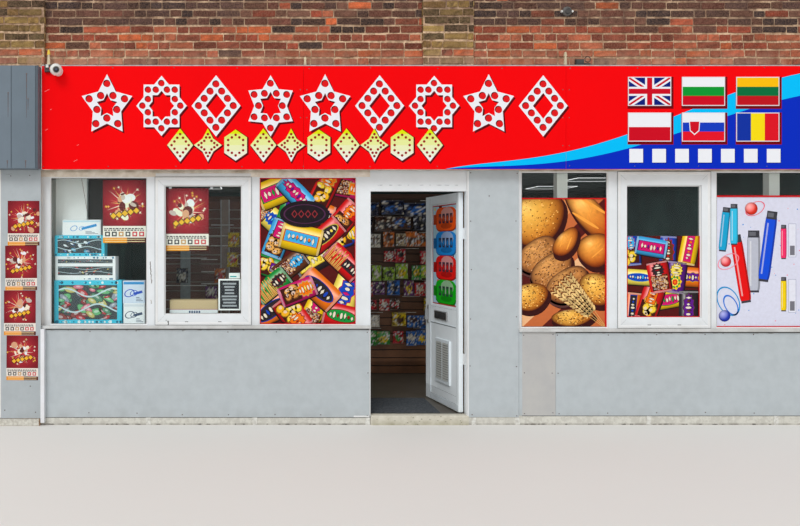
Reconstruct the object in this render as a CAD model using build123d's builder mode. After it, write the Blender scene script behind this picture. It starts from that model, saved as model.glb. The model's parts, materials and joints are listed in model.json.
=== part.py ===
from build123d import *
import os
from math import cos, radians, sin

# A single-storey corner shop with a panelled shop front, in millimetres.
# X runs right along the front, Y runs into the shop and Z is up from the pavement.
# The origin is under the middle of the whole building.

os.makedirs("parts", exist_ok=True)

# Brickwork
frontage = 8530.0
building_depth = 6800.0
wall_thickness = 330.0
wall_top = 4350.0
pier_width = 472.0
pier_projection = 50.0
pier_base_width = 428.0
beam_bottom = 2450.0
beam_height = 300.0
coping_height = 75.0
coping_overhang = 25.0
coping_joint = 3.0
coping_chamfer = 15.0

# Floor, ceiling and roof
floor_level = 88.0
ceiling_level = 2600.0
ceiling_thickness = 40.0
parapet_height = 500.0
roof_thickness = 200.0
mat_width = 664.0
mat_length = 780.0
mat_thickness = 5.0
mat_margin = 20.0

# Shop front, from the left pier base to the doorway
outer_post = 81.0
left_light = 924.0
left_mullion = 71.0
left_casement = 914.0
door_post = 128.0

# Doorway, cladding and the right bay as far as its last light
doorway_width = 911.0
jamb_width = 17.0
jamb_reveal = 4.0
cladding_width = 473.0
edge_post = 30.0
near_light = 827.0
near_mullion = 83.0
right_casement = 884.0
far_mullion = 54.0
end_post = 71.0

# Heights of the shop front
left_sill_top = 938.0
right_sill_top = 908.0
sill_height = 28.0
left_head_bottom = 2341.0
right_head_bottom = 2393.0
door_head_bottom = 2205.0
left_plinth_height = 73.0
right_plinth_height = 88.0

# Depths of the shop front
stall_riser_depth = 150.0
panel_thickness = 12.0
plinth_thickness = 6.0
plinth_joint = 2.0
sill_nose = 35.0
frame_setback = 20.0
frame_depth = 60.0
glass_thickness = 24.0
ledge_depth = 370.0
column_depth = 250.0
riser_sheet_joint = 2.0
riser_sheet_width = 348.0
step_nose = 20.0
step_chamfer = 8.0

# Opening casements
casement_stile = 88.0
casement_head = 78.0
casement_foot = 97.0
casement_proud = 10.0

# Pilasters
pilaster_width = 385.0
pilaster_reveal = 17.0
pilaster_head_top = 3351.0
pilaster_head_depth = 140.0
pilaster_head_skin = 12.0
pilaster_head_gap = 8.0

# Sign
sign_end_inset = 34.0
sign_bottom = 2400.0
sign_height = 967.0
sign_projection = 120.0
sign_sheet = 2440.0
sign_sheet_thickness = 8.0
sign_sheet_joint = 2.0
sign_rail_height = 50.0
soffit_thickness = 12.0
flashing_thickness = 6.0

# Security camera on the sign
camera_inset = 158.0
camera_radius = 56.0
camera_drop = 14.0
camera_gap = 24.0
camera_neck_radius = 20.0
camera_plate_radius = 42.0
camera_plate_thickness = 10.0

# Door
door_angle = 81.5
leaf_thickness = 44.0
leaf_setback = 25.0
hinge_gap = 5.0
closing_gap = 8.0
leaf_foot_gap = 6.0
leaf_head_gap = 6.0
hinge_radius = 6.0
hinge_clearance = 0.5
hinge_height = 104.0
lower_hinge_level = 606.0
upper_hinge_level = 1806.0
flap_thickness = 2.0
flap_length = 30.0
hinge_stile = 62.0
lock_stile = 150.0
mid_rail_top = 1075.0
top_rail = 80.0
door_panel_thickness = 20.0
vent_width = 385.0
vent_offset = 50.0
vent_bottom = 316.0
vent_height = 437.0
vent_thickness = 12.0
letter_width = 350.0
letter_bottom = 944.0
letter_height = 86.0
letter_thickness = 10.0
handle_width = 34.0
handle_bottom = 880.0
handle_height = 190.0
handle_thickness = 8.0
handle_grip = 40.0
grip_width = 20.0
grip_height = 110.0

# Inside the shop
slatwall_distance = 2600.0
slatwall_overlap = 430.0
slatwall_width = 2100.0
slatwall_height = 2250.0
slatwall_thickness = 60.0
packet_depth = 110.0
packet_height = 150.0
packet_pitch = 200.0
packet_row_count = 8
packet_first_level = 480.0
packet_row_inset = 350.0
packet_row_width = 1500.0
side_slatwall_distance = 1400.0
side_slatwall_inset = 120.0
side_slatwall_width = 1250.0
side_slatwall_height = 2150.0
box_inset = 40.0
box_gap = 0.3
light_size = 600.0
light_height = 40.0
light_wall_distance = 1330.0
light_first_distance = 1600.0
light_pitch = 1500.0
light_row_count = 3
inner_post_size = 100.0
inner_post_distance = 200.0
near_post_offset = 438.0
far_post_offset = 586.0

# Planes and edges that the pieces share
ground = 0.0
half_front = frontage / 2
beam_top = beam_bottom + beam_height
roof_top = wall_top - parapet_height
sign_top = sign_bottom + sign_height
camera_reach = sign_projection + camera_gap + 2 * camera_radius
rear_reach = building_depth + pier_projection + coping_overhang
wall_face = (camera_reach - rear_reach) / 2
pier_face = wall_face - pier_projection
wall_back = wall_face + wall_thickness
rear_face = wall_face + building_depth
rear_inside = rear_face - wall_thickness
inside_half = half_front - wall_thickness
bay_half = half_front - pier_base_width
pier_inner = half_front - pier_width
sign_half_width = bay_half - sign_end_inset
sign_face = wall_face - sign_projection
frame_face = wall_face + frame_setback
frame_back = frame_face + frame_depth
panel_face = wall_face - panel_thickness
riser_back = wall_face + stall_riser_depth

# Edges along the shop front
left_light_start = -bay_half + outer_post
left_casement_start = left_light_start + left_light + left_mullion
middle_light_start = left_casement_start + left_casement + left_mullion
door_post_start = middle_light_start + left_light
doorway_left = door_post_start + door_post
doorway_right = doorway_left + doorway_width
cladding_left = doorway_right - jamb_reveal + jamb_width
cladding_right = cladding_left + cladding_width
near_light_start = cladding_right + edge_post
right_casement_start = near_light_start + near_light + near_mullion
right_casement_end = right_casement_start + right_casement
far_light_start = right_casement_end + far_mullion
far_light_end = bay_half - end_post
left_sill_bottom = left_sill_top - sill_height
right_sill_bottom = right_sill_top - sill_height

# Hinge axis of the door
jamb_face = doorway_right - jamb_reveal
axis_x = jamb_face - hinge_gap / 2
leaf_outside = frame_face + leaf_setback
leaf_inside = leaf_outside + leaf_thickness
axis_y = leaf_inside + hinge_radius + hinge_clearance
jamb_back = leaf_inside - hinge_clearance
leaf_start = hinge_gap / 2
leaf_width = doorway_width - 2 * jamb_reveal - hinge_gap - closing_gap
leaf_bottom = floor_level + mat_thickness + leaf_foot_gap
leaf_top = door_head_bottom - leaf_head_gap
leaf_inner = hinge_radius + hinge_clearance
leaf_outer = leaf_inner + leaf_thickness
hinge_levels = (lower_hinge_level, upper_hinge_level)


def span(x0, x1, y0, y1):
    """Draws the rectangle between two X and two Y values of the open sketch."""
    with Locations(((x0 + x1) / 2, (y0 + y1) / 2)):
        Rectangle(x1 - x0, y1 - y0)


def level(z):
    """The horizontal plane at height z."""
    return Plane.XY.offset(z)


def upright(y):
    """The upright plane at depth y that faces the street, with X right and Y up."""
    return Plane.XZ.offset(-y)


def leaf_level(z):
    """A horizontal plane with X from the hinge along the open leaf and Y out of its street face."""
    along = (-cos(radians(door_angle)), sin(radians(door_angle)), 0)
    return Plane(origin=(axis_x, axis_y, z), x_dir=along, z_dir=(0, 0, 1))


def keep(piece, label):
    """Labels a finished piece and writes its file."""
    piece.part.label = label
    export_step(piece.part, f"parts/{label}.step")


# Floor and doorstep
with BuildPart() as floor_slab:
    with BuildSketch(level(ground)):
        span(-inside_half, inside_half, wall_back, rear_inside)
        span(-bay_half, bay_half, riser_back, wall_back)
        span(doorway_left, cladding_left, frame_back, riser_back)
        with Locations(((cladding_left + cladding_right) / 2, wall_face + column_depth / 2)):
            Rectangle(cladding_width, column_depth, mode=Mode.SUBTRACT)
    extrude(amount=floor_level - ground)
keep(floor_slab, "floor_slab")

with BuildPart() as door_step:
    with BuildSketch(level(ground)):
        span(doorway_left, cladding_left, wall_face - step_nose, frame_back)
    extrude(amount=floor_level - ground)
    chamfer(door_step.edges().filter_by(Axis.X).sort_by(Axis.Z)[-2:].sort_by(Axis.Y)[0], step_chamfer)
keep(door_step, "door_step")

with BuildPart() as entrance_mat:
    with BuildSketch(level(floor_level)):
        mat_start = leaf_inside + mat_margin
        mat_left = doorway_left + mat_margin
        span(mat_left, mat_left + mat_width, mat_start, mat_start + mat_length)
    extrude(amount=mat_thickness)
keep(entrance_mat, "entrance_mat")

# Party walls and rear wall
for side, label in ((-1, "left_party_wall"), (1, "right_party_wall")):
    with BuildPart() as party_wall:
        with BuildSketch(level(ground)):
            with Locations((side * (half_front - wall_thickness / 2), (wall_back + rear_inside) / 2)):
                Rectangle(wall_thickness, rear_inside - wall_back)
        extrude(amount=wall_top - ground)
    keep(party_wall, label)

with BuildPart() as rear_wall:
    with BuildSketch(level(ground)):
        span(-half_front, half_front, rear_inside, rear_face)
    extrude(amount=wall_top - ground)
keep(rear_wall, "rear_wall")

with BuildPart() as rear_piers:
    with BuildSketch(level(ground)):
        for centre in (pier_width / 2 - half_front, 0, half_front - pier_width / 2):
            with Locations((centre, rear_face + pier_projection / 2)):
                Rectangle(pier_width, pier_projection)
    extrude(amount=wall_top - ground)
keep(rear_piers, "rear_piers")

# Front structure: bases at both ends and a column beside the door carry the beam
with BuildPart() as pier_bases:
    with BuildSketch(level(ground)):
        span(-half_front, -bay_half, pier_face, wall_back)
        span(bay_half, half_front, pier_face, wall_back)
    extrude(amount=beam_bottom - ground)
keep(pier_bases, "pier_bases")

with BuildPart() as door_side_column:
    with BuildSketch(level(ground)):
        span(cladding_left, cladding_right, wall_face, wall_face + column_depth)
    extrude(amount=beam_bottom - ground)
keep(door_side_column, "door_side_column")

with BuildPart() as front_beam:
    with BuildSketch(level(beam_bottom)):
        span(-half_front, half_front, pier_face, wall_back)
    extrude(amount=beam_height)
keep(front_beam, "front_beam")

with BuildPart() as front_piers:
    with BuildSketch(level(beam_top)):
        for centre in (pier_width / 2 - half_front, 0, half_front - pier_width / 2):
            with Locations((centre, (pier_face + wall_back) / 2)):
                Rectangle(pier_width, wall_back - pier_face)
    extrude(amount=wall_top - beam_top)
keep(front_piers, "front_piers")

for side, label in ((-1, "left_upper_wall"), (1, "right_upper_wall")):
    with BuildPart() as upper_wall:
        with BuildSketch(level(beam_top)):
            with Locations((side * (pier_width / 2 + pier_inner) / 2, (wall_face + wall_back) / 2)):
                Rectangle(pier_inner - pier_width / 2, wall_thickness)
        extrude(amount=wall_top - beam_top)
    keep(upper_wall, label)

# Roof, ceiling and coping
with BuildPart() as roof_deck:
    with BuildSketch(level(roof_top - roof_thickness)):
        span(-inside_half, inside_half, wall_back, rear_inside)
    extrude(amount=roof_thickness)
keep(roof_deck, "roof_deck")

with BuildPart() as ceiling:
    with BuildSketch(level(ceiling_level)):
        span(-inside_half, inside_half, wall_back, rear_inside)
    extrude(amount=ceiling_thickness)
keep(ceiling, "ceiling")

with BuildPart() as parapet_copings:
    with BuildSketch(level(wall_top)):
        coping_x = half_front + coping_overhang
        front_edge = wall_back + coping_overhang
        rear_edge = rear_inside - coping_overhang
        span(-coping_x, coping_x, pier_face - coping_overhang, front_edge)
        span(-coping_x, coping_x, rear_edge, rear_face + pier_projection + coping_overhang)
        side_edge = inside_half - coping_overhang
        span(-coping_x, -side_edge, front_edge + coping_joint, rear_edge - coping_joint)
        span(side_edge, coping_x, front_edge + coping_joint, rear_edge - coping_joint)
    extrude(amount=coping_height)
    chamfer(parapet_copings.faces().sort_by(Axis.Z)[-4:].edges(), coping_chamfer)
keep(parapet_copings, "parapet_copings")

# Stall risers with their panels and plinths
with BuildPart() as stall_risers:
    with BuildSketch(level(ground)):
        span(-bay_half, doorway_left, wall_face, riser_back)
    extrude(amount=left_sill_bottom - ground)
    with BuildSketch(level(ground)):
        span(cladding_right, bay_half, wall_face, riser_back)
    extrude(amount=right_sill_bottom - ground)
keep(stall_risers, "stall_risers")

with BuildPart() as riser_panels:
    with BuildSketch(level(left_plinth_height)):
        span(-bay_half, doorway_left, panel_face, wall_face)
    extrude(amount=left_sill_bottom - left_plinth_height)
    with BuildSketch(level(right_plinth_height)):
        sheet_end = cladding_right + riser_sheet_width
        span(cladding_right + riser_sheet_joint, sheet_end, panel_face, wall_face)
        span(sheet_end + riser_sheet_joint, bay_half, panel_face, wall_face)
    extrude(amount=right_sill_bottom - right_plinth_height)
keep(riser_panels, "riser_panels")

with BuildPart() as plinths:
    with BuildSketch(level(ground)):
        span(-bay_half, doorway_left - plinth_joint, wall_face - plinth_thickness, wall_face)
        span(cladding_left + plinth_joint, cladding_right, wall_face - plinth_thickness, wall_face)
    extrude(amount=left_plinth_height - ground)
    with BuildSketch(level(ground)):
        span(cladding_right + plinth_joint, bay_half, wall_face - plinth_thickness, wall_face)
    extrude(amount=right_plinth_height - ground)
keep(plinths, "plinths")

with BuildPart() as door_cladding_panel:
    with BuildSketch(level(left_plinth_height)):
        span(cladding_left, cladding_right, panel_face, wall_face)
    extrude(amount=sign_bottom - left_plinth_height)
keep(door_cladding_panel, "door_cladding_panel")

# Sills outside and display ledges inside
with BuildPart() as window_sills:
    with BuildSketch(level(left_sill_bottom)):
        span(-bay_half, doorway_left, wall_face - sill_nose, frame_back)
    extrude(amount=sill_height)
    with BuildSketch(level(right_sill_bottom)):
        span(cladding_right, bay_half, wall_face - sill_nose, frame_back)
    extrude(amount=sill_height)
keep(window_sills, "window_sills")

with BuildPart() as window_ledges:
    with BuildSketch(level(left_sill_bottom)):
        span(-bay_half, doorway_left, frame_back, frame_back + ledge_depth)
    extrude(amount=sill_height)
    with BuildSketch(level(right_sill_bottom)):
        span(cladding_right, bay_half, frame_back, frame_back + ledge_depth)
        with Locations(((cladding_left + cladding_right) / 2, wall_face + column_depth / 2)):
            Rectangle(cladding_width, column_depth, mode=Mode.SUBTRACT)
    extrude(amount=sill_height)
keep(window_ledges, "window_ledges")

# Frame heads and posts
with BuildPart() as window_heads:
    with BuildSketch(level(left_head_bottom)):
        span(-bay_half, doorway_left, frame_face, frame_back)
    extrude(amount=beam_bottom - left_head_bottom)
    with BuildSketch(level(right_head_bottom)):
        span(cladding_right, bay_half, frame_face, frame_back)
    extrude(amount=beam_bottom - right_head_bottom)
keep(window_heads, "window_heads")

with BuildPart() as window_posts:
    with BuildSketch(level(left_sill_top)):
        for start, width in (
            (-bay_half, outer_post),
            (left_casement_start - left_mullion, left_mullion),
            (middle_light_start - left_mullion, left_mullion),
            (door_post_start, door_post),
        ):
            span(start, start + width, frame_face, frame_back)
    extrude(amount=left_head_bottom - left_sill_top)
    with BuildSketch(level(right_sill_top)):
        for start, width in (
            (cladding_right, edge_post),
            (right_casement_start - near_mullion, near_mullion),
            (right_casement_end, far_mullion),
            (far_light_end, end_post),
        ):
            span(start, start + width, frame_face, frame_back)
    extrude(amount=right_head_bottom - right_sill_top)
keep(window_posts, "window_posts")

# Opening casements, each a frame round its own pane
left_casement_end = left_casement_start + left_casement
casements = (
    (left_casement_start, left_casement_end, left_sill_top, left_head_bottom, casement_head),
    (
        right_casement_start,
        right_casement_end,
        right_sill_top,
        right_head_bottom,
        casement_head + right_head_bottom - left_head_bottom,
    ),
)
with BuildPart() as casement_frames:
    with BuildSketch(upright(frame_face - casement_proud)):
        for x0, x1, z0, z1, head in casements:
            span(x0, x1, z0, z1)
            pane_centre = ((x0 + x1) / 2, (z0 + casement_foot + z1 - head) / 2)
            with Locations(pane_centre):
                Rectangle(
                    x1 - x0 - 2 * casement_stile,
                    z1 - head - z0 - casement_foot,
                    mode=Mode.SUBTRACT,
                )
    extrude(amount=-(frame_depth + casement_proud))
keep(casement_frames, "casement_frames")

with BuildPart() as window_glass:
    with BuildSketch(upright(frame_face + (frame_depth - glass_thickness) / 2)):
        span(left_light_start, left_light_start + left_light, left_sill_top, left_head_bottom)
        span(middle_light_start, door_post_start, left_sill_top, left_head_bottom)
        span(near_light_start, near_light_start + near_light, right_sill_top, right_head_bottom)
        span(far_light_start, far_light_end, right_sill_top, right_head_bottom)
        for x0, x1, z0, z1, head in casements:
            span(x0 + casement_stile, x1 - casement_stile, z0 + casement_foot, z1 - head)
    extrude(amount=-glass_thickness)
keep(window_glass, "window_glass")

# Doorway: head board and jambs
with BuildPart() as door_head_board:
    with BuildSketch(level(door_head_bottom)):
        span(doorway_left, cladding_left, frame_face, frame_back)
    extrude(amount=beam_bottom - door_head_bottom)
keep(door_head_board, "door_head_board")

with BuildPart() as door_jambs:
    with BuildSketch(level(floor_level)):
        span(doorway_left, doorway_left + jamb_reveal, frame_face, jamb_back)
        span(jamb_face, cladding_left, frame_face, jamb_back)
    extrude(amount=door_head_bottom - floor_level)
keep(door_jambs, "door_jambs")

with BuildPart() as door_hinges:
    for middle in hinge_levels:
        with BuildSketch(level(middle - hinge_height / 2)):
            with Locations((axis_x, axis_y)):
                Circle(hinge_radius)
            span(jamb_face - flap_thickness, jamb_face, axis_y - flap_length, axis_y)
        extrude(amount=hinge_height)
keep(door_hinges, "door_hinges")

# Pilasters at both ends
with BuildPart() as pilaster_panels:
    with BuildSketch(level(left_plinth_height)):
        panel_end = bay_half - pilaster_reveal
        span(-panel_end - pilaster_width, -panel_end, pier_face - panel_thickness, pier_face)
        span(panel_end, panel_end + pilaster_width, pier_face - panel_thickness, pier_face)
    extrude(amount=sign_bottom - left_plinth_height)
keep(pilaster_panels, "pilaster_panels")

with BuildPart() as pilaster_heads:
    with BuildSketch(upright(pier_face - pilaster_head_depth)):
        head_inner = sign_half_width + pilaster_head_gap
        span(-half_front, -head_inner, sign_bottom, pilaster_head_top)
        span(head_inner, half_front, sign_bottom, pilaster_head_top)
    extrude(amount=-pilaster_head_depth)
    with BuildSketch(upright(pier_face)):
        skin = pilaster_head_skin
        span(skin - half_front, -head_inner - skin, sign_bottom + skin, pilaster_head_top - skin)
        span(head_inner + skin, half_front - skin, sign_bottom + skin, pilaster_head_top - skin)
    extrude(amount=pilaster_head_depth - skin, mode=Mode.SUBTRACT)
keep(pilaster_heads, "pilaster_heads")

# Sign: rails on the beam and piers, sheets in front, soffit below and flashing on top
rail_face = sign_face + sign_sheet_thickness
rail_levels = (sign_bottom + soffit_thickness, sign_top - sign_rail_height)
with BuildPart() as sign_rails:
    for rail_level in rail_levels:
        with BuildSketch(level(rail_level)):
            span(-sign_half_width, sign_half_width, rail_face, pier_face)
        extrude(amount=sign_rail_height)
keep(sign_rails, "sign_rails")

with BuildPart() as sign_soffit:
    with BuildSketch(level(sign_bottom)):
        span(-sign_half_width, sign_half_width, rail_face, wall_face)
    extrude(amount=soffit_thickness)
keep(sign_soffit, "sign_soffit")

with BuildPart() as sign_flashing:
    with BuildSketch(level(sign_top)):
        span(-sign_half_width, sign_half_width, sign_face, pier_face)
        span(-pier_inner, -pier_width / 2, pier_face, wall_face)
        span(pier_width / 2, pier_inner, pier_face, wall_face)
    extrude(amount=flashing_thickness)
keep(sign_flashing, "sign_flashing")

with BuildPart() as sign_panels:
    with BuildSketch(upright(sign_face)):
        sheet_edge = sign_sheet - sign_half_width
        second_edge = sheet_edge + sign_sheet
        span(-sign_half_width, sheet_edge, sign_bottom, sign_top)
        span(sheet_edge + sign_sheet_joint, second_edge, sign_bottom, sign_top)
        span(second_edge + sign_sheet_joint, sign_half_width, sign_bottom, sign_top)
    extrude(amount=-sign_sheet_thickness)
keep(sign_panels, "sign_panels")

# Ball camera on a round plate near the top of the sign
camera_level = sign_top - camera_drop - camera_plate_radius
camera_centre_y = sign_face - camera_gap - camera_radius
camera_x = camera_inset - sign_half_width
with BuildPart() as security_camera:
    with BuildSketch(upright(sign_face)):
        with Locations((camera_x, camera_level)):
            Circle(camera_plate_radius)
    extrude(amount=camera_plate_thickness)
    with BuildSketch(upright(sign_face)):
        with Locations((camera_x, camera_level)):
            Circle(camera_neck_radius)
    extrude(amount=camera_gap + camera_radius / 2)
    with Locations((camera_x, camera_centre_y, camera_level)):
        Sphere(camera_radius)
keep(security_camera, "security_camera")

# Inside: slatwall with rows of packets, and a narrower one behind the left casement
slatwall_face = wall_face + slatwall_distance
slatwall_left = doorway_left - slatwall_overlap
side_face = wall_face + side_slatwall_distance
side_left = left_casement_start - side_slatwall_inset
with BuildPart() as slatwall:
    with BuildSketch(level(floor_level)):
        slatwall_back = slatwall_face + slatwall_thickness
        span(slatwall_left, slatwall_left + slatwall_width, slatwall_face, slatwall_back)
    extrude(amount=slatwall_height)
keep(slatwall, "slatwall")

with BuildPart() as packet_rows:
    packet_left = slatwall_left + packet_row_inset
    for row in range(packet_row_count):
        with BuildSketch(level(packet_first_level + row * packet_pitch)):
            packet_face = slatwall_face - packet_depth
            span(packet_left, packet_left + packet_row_width, packet_face, slatwall_face)
        extrude(amount=packet_height)
keep(packet_rows, "packet_rows")

with BuildPart() as side_slatwall:
    with BuildSketch(level(floor_level)):
        span(side_left, side_left + side_slatwall_width, side_face, side_face + slatwall_thickness)
    extrude(amount=side_slatwall_height)
keep(side_slatwall, "side_slatwall")

# Piles of boxes on the left display ledge. Each pile starts at an X value, and
# each of its boxes is (offset, width, height, depth).
display_piles = (
    (
        left_light_start,
        (
            (16.0, 650.0, 420.0, 200.0),
            (26.0, 580.0, 230.0, 180.0),
            (21.0, 480.0, 200.0, 150.0),
            (96.0, 370.0, 150.0, 110.0),
        ),
    ),
    (left_light_start, ((681.0, 205.0, 200.0, 160.0), (676.0, 210.0, 215.0, 160.0))),
    (left_casement_start, ((130.0, 460.0, 230.0, 200.0),)),
)
with BuildPart() as window_display:
    for pile_start, boxes in display_piles:
        box_bottom = left_sill_top
        for offset, width, height, depth in boxes:
            box_left = pile_start + offset
            with BuildSketch(level(box_bottom)):
                span(box_left, box_left + width, frame_back + box_inset, frame_back + box_inset + depth)
            extrude(amount=height)
            box_bottom += height + box_gap
keep(window_display, "window_display")

with BuildPart() as ceiling_lights:
    light_x = inside_half - light_wall_distance
    with BuildSketch(level(ceiling_level)):
        for row in range(light_row_count):
            for centre in (-light_x, light_x):
                with Locations((centre, wall_face + light_first_distance + row * light_pitch)):
                    Rectangle(light_size, light_size)
    extrude(amount=-light_height)
keep(ceiling_lights, "ceiling_lights")

with BuildPart() as inner_posts:
    with BuildSketch(level(right_sill_top)):
        for centre in (near_light_start + near_post_offset, far_light_end - far_post_offset):
            with Locations((centre, wall_face + inner_post_distance)):
                Rectangle(inner_post_size, inner_post_size)
    extrude(amount=beam_bottom - right_sill_top)
keep(inner_posts, "inner_posts")

# Door leaf, drawn open, with its recesses for the panel
leaf_end = leaf_start + leaf_width
panel_start = leaf_start + hinge_stile
panel_stop = leaf_end - lock_stile
leaf_middle = (leaf_start + leaf_end) / 2
with BuildPart() as door_leaf:
    with BuildSketch(leaf_level(leaf_bottom)):
        span(leaf_start, leaf_end, leaf_inner, leaf_outer)
    extrude(amount=leaf_top - leaf_bottom)
    with BuildSketch(leaf_level(mid_rail_top)):
        span(panel_start, panel_stop, leaf_inner, leaf_outer)
    extrude(amount=leaf_top - top_rail - mid_rail_top, mode=Mode.SUBTRACT)
keep(door_leaf, "door_leaf")

with BuildPart() as door_panel:
    with BuildSketch(leaf_level(mid_rail_top)):
        panel_back = (leaf_inner + leaf_outer - door_panel_thickness) / 2
        span(panel_start, panel_stop, panel_back, panel_back + door_panel_thickness)
    extrude(amount=leaf_top - top_rail - mid_rail_top)
keep(door_panel, "door_panel")

with BuildPart() as letter_plate:
    with BuildSketch(leaf_level(letter_bottom)):
        half_letter = letter_width / 2
        letter_face = leaf_outer + letter_thickness
        span(leaf_middle - half_letter, leaf_middle + half_letter, leaf_outer, letter_face)
    extrude(amount=letter_height)
keep(letter_plate, "letter_plate")

with BuildPart() as door_vent:
    with BuildSketch(leaf_level(vent_bottom)):
        vent_start = leaf_middle - vent_offset - vent_width / 2
        span(vent_start, vent_start + vent_width, leaf_outer, leaf_outer + vent_thickness)
    extrude(amount=vent_height)
keep(door_vent, "door_vent")

with BuildPart() as door_handle:
    with BuildSketch(leaf_level(handle_bottom)):
        handle_middle = leaf_end - lock_stile / 2
        half_handle = handle_width / 2
        grip_base = leaf_outer + handle_thickness
        span(handle_middle - half_handle, handle_middle + half_handle, leaf_outer, grip_base)
    extrude(amount=handle_height)
    with BuildSketch(leaf_level(handle_bottom + (handle_height - grip_height) / 2)):
        half_grip = grip_width / 2
        span(handle_middle - half_grip, handle_middle + half_grip, grip_base, leaf_outer + handle_grip)
    extrude(amount=grip_height)
keep(door_handle, "door_handle")
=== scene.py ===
import json
import math

import bpy
import numpy as np
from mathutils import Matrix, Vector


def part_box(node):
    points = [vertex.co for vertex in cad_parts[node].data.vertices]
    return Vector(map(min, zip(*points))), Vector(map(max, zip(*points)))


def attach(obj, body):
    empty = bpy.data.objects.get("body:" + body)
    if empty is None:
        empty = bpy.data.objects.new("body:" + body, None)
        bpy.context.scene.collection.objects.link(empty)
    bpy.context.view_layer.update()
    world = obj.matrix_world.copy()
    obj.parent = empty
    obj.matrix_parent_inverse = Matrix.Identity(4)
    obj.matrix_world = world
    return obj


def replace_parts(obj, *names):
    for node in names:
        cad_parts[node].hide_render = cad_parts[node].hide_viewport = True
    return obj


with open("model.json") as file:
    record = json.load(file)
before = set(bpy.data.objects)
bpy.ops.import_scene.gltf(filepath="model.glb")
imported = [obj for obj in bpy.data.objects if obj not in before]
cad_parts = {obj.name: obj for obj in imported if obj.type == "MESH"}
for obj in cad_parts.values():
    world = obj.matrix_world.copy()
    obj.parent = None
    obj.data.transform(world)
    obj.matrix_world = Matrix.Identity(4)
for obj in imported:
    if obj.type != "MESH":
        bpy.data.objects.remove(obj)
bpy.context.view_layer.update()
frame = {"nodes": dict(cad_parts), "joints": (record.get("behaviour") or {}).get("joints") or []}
draw = np.random.default_rng(11)

# Planes and edges of the building, read from the fixed solids
PIER_LOW, PIER_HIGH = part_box("front_piers")
PIER_Y, BACK_Y = PIER_LOW[1], PIER_HIGH[1]
HALF, TOP = PIER_HIGH[0], PIER_HIGH[2]
PIER_INNER = -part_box("left_upper_wall")[0][0]
MIDDLE_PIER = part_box("right_upper_wall")[0][0]
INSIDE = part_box("right_party_wall")[0][0]
WALL_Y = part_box("left_upper_wall")[0][1]
REAR_INSIDE, REAR_Y = (corner[1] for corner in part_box("rear_wall"))
REAR_PIER_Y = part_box("rear_piers")[1][1]
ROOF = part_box("roof_deck")[1][2]
SIGN_LOW, SIGN_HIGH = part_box("sign_panels")
SIGN_Y = SIGN_LOW[1]
OVER_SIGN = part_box("sign_flashing")[1][2]
HEAD_LOW, HEAD_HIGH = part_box("pilaster_heads")
PANEL_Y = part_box("riser_panels")[0][1]
BASE_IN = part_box("riser_panels")[1][0]
PILASTER_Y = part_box("pilaster_panels")[0][1]
PANEL_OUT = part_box("pilaster_panels")[1][0]
FRAME_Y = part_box("window_posts")[0][1]
END_POST = 0.081
LEFT_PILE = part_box("window_posts")[0][0] + END_POST
GLASS_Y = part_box("window_glass")[0][1]
DOOR_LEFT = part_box("door_jambs")[0][0]
DISPLAY_Y, LEDGE_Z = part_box("window_display")[0][1:]
SHEET_JOINTS = (-1.362, 1.078)
LEFT_LIGHTS, RIGHT_LIGHTS = (LEDGE_Z, 2.341), (LEDGE_Z - 0.03, 2.393)
# Each pane as (x0, x1, z0, z1), the width of a casement's frame and a film's distance from an edge
PANES = {
    "far left": (-3.756, -2.832, *LEFT_LIGHTS),
    "left of door": (-1.776, -0.852, *LEFT_LIGHTS),
    "right of door": (0.703, 1.530, *RIGHT_LIGHTS),
    "far right": (2.551, 3.766, *RIGHT_LIGHTS),
    "left casement": (-2.673, -1.935, 1.035, 2.263),
    "right casement": (1.701, 2.409, 1.005, 2.263),
}
CASEMENT, FILM_EDGE = 0.088, 0.004


# Shapes
class Board:
    """A flat frame of reference: a point on it has a distance right, up and out of its face."""

    def __init__(self, origin, right, up, out):
        self.origin, self.right, self.up, self.out = (np.array(v, float) for v in (origin, right, up, out))

    def place(self, points):
        """Origin plus right, up and out times the three columns of the points."""
        return self.origin + np.asarray(points, float) @ np.array((self.right, self.up, self.out))

    def moved(self, out):
        """The same board, further out."""
        return Board(self.place((0, 0, out)), self.right, self.up, self.out)


def front_board(y, x=0.0, z=0.0, tilt=0.0):
    """A board that faces the street at depth y, tilted by an angle."""
    c, s = math.cos(tilt), math.sin(tilt)
    return Board((x, y, z), (c, 0, s), (-s, 0, c), (0, -1, 0))


def side_board(x, y, facing):
    """A board on a wall that faces -X or +X, whose right axis starts at depth y."""
    return Board((x, y, 0), (0, facing, 0), (0, 0, 1), (facing, 0, 0))


def back_board(x, y):
    """A board that faces the rear, whose right axis runs towards -X from x."""
    return Board((x, y, 0), (-1, 0, 0), (0, 0, 1), (0, 1, 0))


def down_board(z):
    """A board that faces down at a height."""
    return Board((0, 0, z), (1, 0, 0), (0, -1, 0), (0, 0, -1))


def srgb(red, green, blue):
    """The linear colour of three display values from 0 to 255."""
    value = np.array((red, green, blue)) / 255
    return np.where(value <= 0.04045, value / 12.92, ((value + 0.055) / 1.055) ** 2.4)


def inks_of(*tints):
    """The linear colours of tuples of display values."""
    return np.array([srgb(*tint) for tint in tints])


def linear(ink):
    """A linear colour as it is, or one worked out from a tuple of display values."""
    return srgb(*ink) if isinstance(ink, tuple) else ink


def grey(value):
    """A linear grey."""
    return np.full(3, value)


def cells(n, m, closed=False, around=True):
    """Faces of a grid of n rows of m points, which may close on itself along either way."""
    i, j = np.meshgrid(np.arange(n - (not closed)), np.arange(m - (not around)), indexing="ij")
    i2, j2 = (i + 1) % n, (j + 1) % m
    return np.stack((i * m + j, i2 * m + j, i2 * m + j2, i * m + j2), -1).reshape(-1, 4)


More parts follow.
